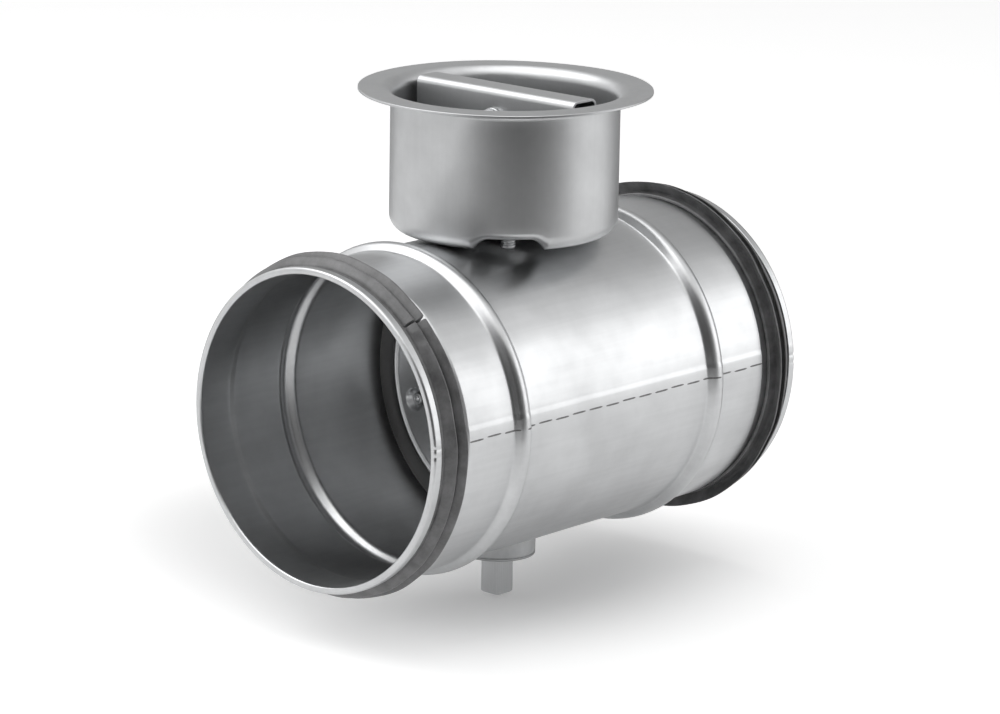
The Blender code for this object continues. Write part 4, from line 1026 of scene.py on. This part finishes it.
# The seal is the same rubber; its darker greys are painted shade, for the ring sits inside the duct
seal_rubber_painted_shade = rubber_finish("epdm_seal", "262627", "3A3A3B")
seal = piece("blade_seal", mesh, seal_rubber_painted_shade, "blade_body")
turn = circle(3)[None, :]
cut_away(seal, spun("socket", socket(turn) * np.ones((2, 1)),
                    SEAL_CUT * np.array([[-1], [1]]), turn))

# ---------------------------------------------------------------------------
# Blade discs. Two pressed galvanised discs back to back, each with a channel for
# the shaft, a rolled rim and a ring of dished fixing points.
DISC_RADIUS = 0.0545
DISC_FACE = 0.0030
DISC_SHEET = 0.0010
CHANNEL_FACE = 0.0063
CHANNEL_FLAT = 0.00571
CHANNEL_FOOT = 0.0086
DIMPLE_CIRCLE = 0.0450
DIMPLE_MOUTH = 0.0049
DIMPLE_FLOOR = 0.0028
DIMPLE_FACE = 0.00115
RIM_LINE = 0.0537
GROOVE_LINE = 0.0522
RIM_RELIEF = 0.00028
RIM_WIDTH = 0.0004
GROOVE_WIDTH = 0.0005
EYELET_ANGLES = np.radians([-54, -18, 18, 54, 126, 162, 198, 234])
BLADE_SCREW_Z = 0.02998
SCREW_HOLE = 0.0027
EYELET_HOLE = 0.0014
THROUGH = (-0.0080, 0.0080)

eyelet_y, eyelet_z = DIMPLE_CIRCLE * np.cos(EYELET_ANGLES), DIMPLE_CIRCLE * np.sin(EYELET_ANGLES)
# Rows are closer over the ring of dished points and closest at the rolled rim
reach = np.concatenate([[0.0005], np.arange(0.002, 0.012, 0.001),
                        np.arange(0.013, 0.0395, 0.0025), np.arange(0.0398, 0.0505, 0.00055),
                        np.arange(0.0508, DISC_RADIUS - 0.0001, 0.00028)])[:, None]
turn = circle(0.75)[None, :]
y, z = reach * np.cos(turn), reach * np.sin(turn)
channel = ease((CHANNEL_FOOT - np.abs(y)) / (CHANNEL_FOOT - CHANNEL_FLAT))
nearest = np.min(np.hypot(y[..., None] - eyelet_y, z[..., None] - eyelet_z), -1)
dimple = ease((DIMPLE_MOUTH - nearest) / (DIMPLE_MOUTH - DIMPLE_FLOOR))
rim = RIM_RELIEF * dents(reach, (1, RIM_LINE, RIM_WIDTH), (-1, GROOVE_LINE, GROOVE_WIDTH))
face = (DISC_FACE + (CHANNEL_FACE - DISC_FACE) * channel - (DISC_FACE - DIMPLE_FACE) * dimple
        + rim * (1 - channel))
cut_face = face[-1:] - DISC_SHEET * np.array([[0.2], [0.5], [0.8]])
cut_reach = DISC_RADIUS + np.zeros((3, 1))
x = np.concatenate([face, cut_face, (face - DISC_SHEET)[::-1]])
y = np.concatenate([y, cut_reach * np.cos(turn), y[::-1]])
z = np.concatenate([z, cut_reach * np.sin(turn), z[::-1]])
holes = [(0, ey, ez, EYELET_HOLE, *THROUGH) for ey, ez in zip(eyelet_y, eyelet_z)]
holes += [(0, 0, side * BLADE_SCREW_Z, SCREW_HOLE, *THROUGH) for side in (1, -1)]
for name, side in (("blade_disc_front", -1), ("blade_disc_rear", 1)):
    disc = piece(name, grid_mesh("disc", side * x, y, z), galvanised, "blade_body")
    cut_away(disc, posts("X", *holes))

# ---------------------------------------------------------------------------
# Blade rivets. Tubular steel rivets rolled over at both ends in the dished
# points, so that each leaves a small open hole through the blade.
EYELET_SHANK = 0.0016
EYELET_BORE = 0.0010
EYELET_HEAD = 0.0024
EYELET_SEAT = 0.00145

# The half section: the bore, the rolled head squashed a little flat, and the shank
roll_radius, roll_place = bend(((EYELET_BORE + EYELET_HEAD) / 2, 0.0),
                               (EYELET_HEAD - EYELET_BORE) / 2, 180, 0, 11)
eyelet_radius, eyelet_place = column(
    (EYELET_BORE, 0.0), (roll_radius, EYELET_SEAT + roll_place * 0.8 + 0.00004),
    (EYELET_HEAD - 0.0001, EYELET_SEAT), (EYELET_SHANK, EYELET_SEAT), (EYELET_SHANK, 0.0))
eyelet_radius = np.concatenate([eyelet_radius, eyelet_radius[-2:0:-1]])
eyelet_place = np.concatenate([eyelet_place, -eyelet_place[-2:0:-1]])
for number, (y, z) in enumerate(zip(eyelet_y, eyelet_z), 1):
    mesh = spun("eyelet", eyelet_radius, eyelet_place, circle(12), "X", (0, y, z), True)
    piece(f"blade_rivet_{number}", mesh, bright, "blade_body")

# ---------------------------------------------------------------------------
# Cross screws. Zinc plated pan head screws with a hexagon socket, one through
# handle and shaft, two through the discs and the shaft, each with its nut. Along X
# a screw is given from under its head to its tip and a nut by its two faces.
PAN_RADIUS = 0.0046
PAN_HEIGHT = 0.0028
PAN_MOUTH = 0.0019
PAN_FACE = 0.0030
PAN_DOME = 0.0015
SCREW_RADIUS = 0.0025
SOCKET_FLATS = 0.0030
SOCKET_DEPTH = 0.0016
SCREW_PITCH = 0.0008
THREAD_LENGTH = 0.0075
NUT_FLATS = 0.0080
BLADE_SCREW = (-0.0066, 0.0116)
BLADE_NUT = (0.0066, 0.0106)


def pan_screw(under_head, end, z):
    """A screw along X: socket floor, socket wall, domed head, shank and threaded end."""
    turn = circle(5)[None, :]
    flat = np.ones_like(turn)
    head = under_head - PAN_HEIGHT
    socket_rows = hexagon(turn, SOCKET_FLATS) * np.ones((2, 1))
    head_rows, head_places = column(
        (PAN_MOUTH, head), (PAN_FACE, head + 0.00005),
        bend((PAN_RADIUS - PAN_DOME, head + PAN_DOME), PAN_DOME, -75, 0, 8),
        (PAN_RADIUS, under_head - 0.0002), (PAN_RADIUS - 0.0002, under_head),
        (SCREW_RADIUS + 0.0001, under_head))
    smooth_end = end - THREAD_LENGTH
    shank_places = np.concatenate([[under_head + 0.0001],
                                   np.linspace(smooth_end, end - 0.0005, 60)])[:, None]
    shank_rows = thread(SCREW_RADIUS, shank_places, turn, SCREW_PITCH, (smooth_end, end))
    rows = [flat * 0.0003, socket_rows, head_rows * flat, shank_rows,
            flat * (SCREW_RADIUS - 0.0006), flat * 0.0004]
    places = [[[head + SOCKET_DEPTH]], [[head + SOCKET_DEPTH], [head + 0.0002]], head_places,
              shank_places, [[end]], [[end]]]
    return spun("screw", np.concatenate(rows), np.concatenate(places), turn, "X", (0, 0, z))


def cross_nut(low, high, z):
    """The nut on a screw along X, with a flat upwards."""
    return nut_mesh(NUT_FLATS, SCREW_RADIUS + 0.0001, low, high, circle(2.5)[None, :], "X",
                    (0, 0, z), math.pi / 6)


for number, z in ((1, BLADE_SCREW_Z), (2, -BLADE_SCREW_Z)):
    piece(f"blade_screw_{number}", pan_screw(*BLADE_SCREW, z), bright, "blade_body")
    piece(f"blade_nut_{number}", cross_nut(*BLADE_NUT, z), bright, "blade_body")

# ---------------------------------------------------------------------------
# Lock plate. A stamped steel quadrant on the shaft under the handle, with an arc
# slot that slides past the lock screw.
PLATE = (0.0733, 0.0748)
PLATE_HUB = 0.0160
PLATE_RADIUS = 0.0395
PLATE_HALF_ANGLE = math.radians(57)
PLATE_EDGE = 0.0002
PLATE_CORNER = 0.0035
CORNER_LEAD = math.radians(7)
CORNER_SPAN = math.radians(9)
PLATE_BAND = 0.0030
HUB_SIDE = math.radians(110)
SLOT_CENTRE = 0.0330
SLOT_HALF_WIDTH = 0.0033
SLOT_HALF_ANGLE = math.radians(45.5)

# Columns are closer where the sector's side runs in to the hub
off_middle = np.concatenate([np.arange(0, 48, 3), np.arange(48, 70, 0.5), np.arange(70, 181, 4)])
turn = np.radians(180 + np.concatenate([off_middle, -off_middle[:0:-1]]))[None, :]
off = np.abs(turn % (2 * np.pi) - np.pi)
# The sector's straight sides run in to the hub; an S curve rounds each outer corner
lean = math.asin(PLATE_HUB / PLATE_RADIUS)
side_line = PLATE_HUB / np.clip(np.sin(off - PLATE_HALF_ANGLE + lean), 0.01, None)
sector = np.where(off < PLATE_HALF_ANGLE, PLATE_RADIUS, side_line)
corner = ease((off - PLATE_HALF_ANGLE + CORNER_LEAD) / CORNER_SPAN)
outline = np.clip(np.minimum(sector, PLATE_RADIUS - PLATE_CORNER * corner ** 2),
                  PLATE_HUB, PLATE_RADIUS)
outline = np.where(off > HUB_SIDE, PLATE_HUB, outline)
low, high = PLATE
hole, band = socket(turn), socket(turn) + PLATE_BAND
rows = np.concatenate([hole, band, outline - PLATE_EDGE, outline,
                       outline, outline - PLATE_EDGE, band, hole])
places = np.array([low, low, low, low + PLATE_EDGE, high - PLATE_EDGE, high, high, high])[:, None]
mesh = spun("plate", rows, places, turn, rows_meet=True)
plate = piece("lock_plate", mesh, bright, "blade_body")
# The slot's outline: its outer arc, a round end, its inner arc and the other round end
sweep = np.linspace(-1, 1, 41) * SLOT_HALF_ANGLE
cap_turn = np.linspace(0, np.pi, 13)[1:-1]
ends = [(SLOT_CENTRE * np.exp(1j * sign * SLOT_HALF_ANGLE)
         + SLOT_HALF_WIDTH * np.exp(1j * (sign * SLOT_HALF_ANGLE + start + cap_turn)))
        for sign, start in ((1, 0), (-1, np.pi))]
slot_line = -np.concatenate([(SLOT_CENTRE + SLOT_HALF_WIDTH) * np.exp(1j * sweep), ends[0],
                             (SLOT_CENTRE - SLOT_HALF_WIDTH) * np.exp(1j * sweep[::-1]), ends[1]])
cut_away(plate, grid_mesh("slot", slot_line.real[None, :], slot_line.imag[None, :],
                          np.array([[low - 0.001], [high + 0.001]])))

# ---------------------------------------------------------------------------
# Handle. A strip of steel folded into a channel that caps the shaft, its cut
# ends left open; it stands up a little towards the end nearer the seam.
HANDLE_BASE = 0.0751
HANDLE_TOP = 0.1179
HANDLE_HALF_LENGTH = 0.0405
HANDLE_HALF_WIDTH = 0.0068
HANDLE_SHEET = 0.0010
HANDLE_BEND = 0.0028
HANDLE_EDGE = 0.00012
HANDLE_ARRIS = 0.0002
HANDLE_SCREW_Z = 0.1061
HANDLE_SCREW = (-0.0084, 0.0121)
HANDLE_WASHER = (-0.0081, -0.0071)
HANDLE_WASHER_RADIUS = 0.0050
HANDLE_NUT = (0.0071, 0.0111)
RAISED_NEAR = 0.0010
RAISED_FAR = 0.0003


def channel_outline(inset):
    """The channel's section as (x, z), shrunk by inset on all its edges."""
    wide, top, base = HANDLE_HALF_WIDTH - inset, HANDLE_TOP - inset, HANDLE_BASE + inset
    inner, under = HANDLE_HALF_WIDTH - HANDLE_SHEET + inset, HANDLE_TOP - HANDLE_SHEET + inset
    corners = [(wide, base), (wide, top), (-wide, top), (-wide, base), (-inner, base),
               (-inner, under), (inner, under), (inner, base)]
    bends = np.array([HANDLE_ARRIS, HANDLE_BEND, HANDLE_BEND, HANDLE_ARRIS, HANDLE_ARRIS,
                      HANDLE_BEND - HANDLE_SHEET, HANDLE_BEND - HANDLE_SHEET, HANDLE_ARRIS])
    return rounded(corners, bends, 10)


# Sections along Y, a little smaller at the two cut ends and raised more towards one
places = np.concatenate([[-1, -1 + HANDLE_EDGE / HANDLE_HALF_LENGTH], np.linspace(-0.98, 0.98, 41),
                         [1 - HANDLE_EDGE / HANDLE_HALF_LENGTH, 1]])[:, None] * HANDLE_HALF_LENGTH
at_ends = (np.abs(places) == HANDLE_HALF_LENGTH)[..., None]
sections = np.where(at_ends, channel_outline(HANDLE_EDGE), channel_outline(0.0))
raised = RAISED_FAR + (RAISED_NEAR - RAISED_FAR) * (1 - places / HANDLE_HALF_LENGTH) / 2
height = (sections[..., 1]
          + raised * (sections[..., 1] - HANDLE_BASE) / (HANDLE_TOP - HANDLE_BASE))
mesh = grid_mesh("handle", sections[..., 0], places, height)
handle = piece("handle", mesh, drawn, "blade_body")
cut_away(handle, posts("X", (0, 0, HANDLE_SCREW_Z, SCREW_HOLE, *THROUGH)))
piece("handle_screw", pan_screw(*HANDLE_SCREW, HANDLE_SCREW_Z), bright, "blade_body")
mesh = spun("washer", *ring_rows(SCREW_RADIUS + 0.0002, HANDLE_WASHER_RADIUS, *HANDLE_WASHER,
                                 0.00015), circle(5)[None, :], "X", (0, 0, HANDLE_SCREW_Z), True)
piece("handle_washer", mesh, bright, "blade_body")
piece("handle_nut", cross_nut(*HANDLE_NUT, HANDLE_SCREW_Z), bright, "blade_body")

scene.view_settings.view_transform = "Standard"
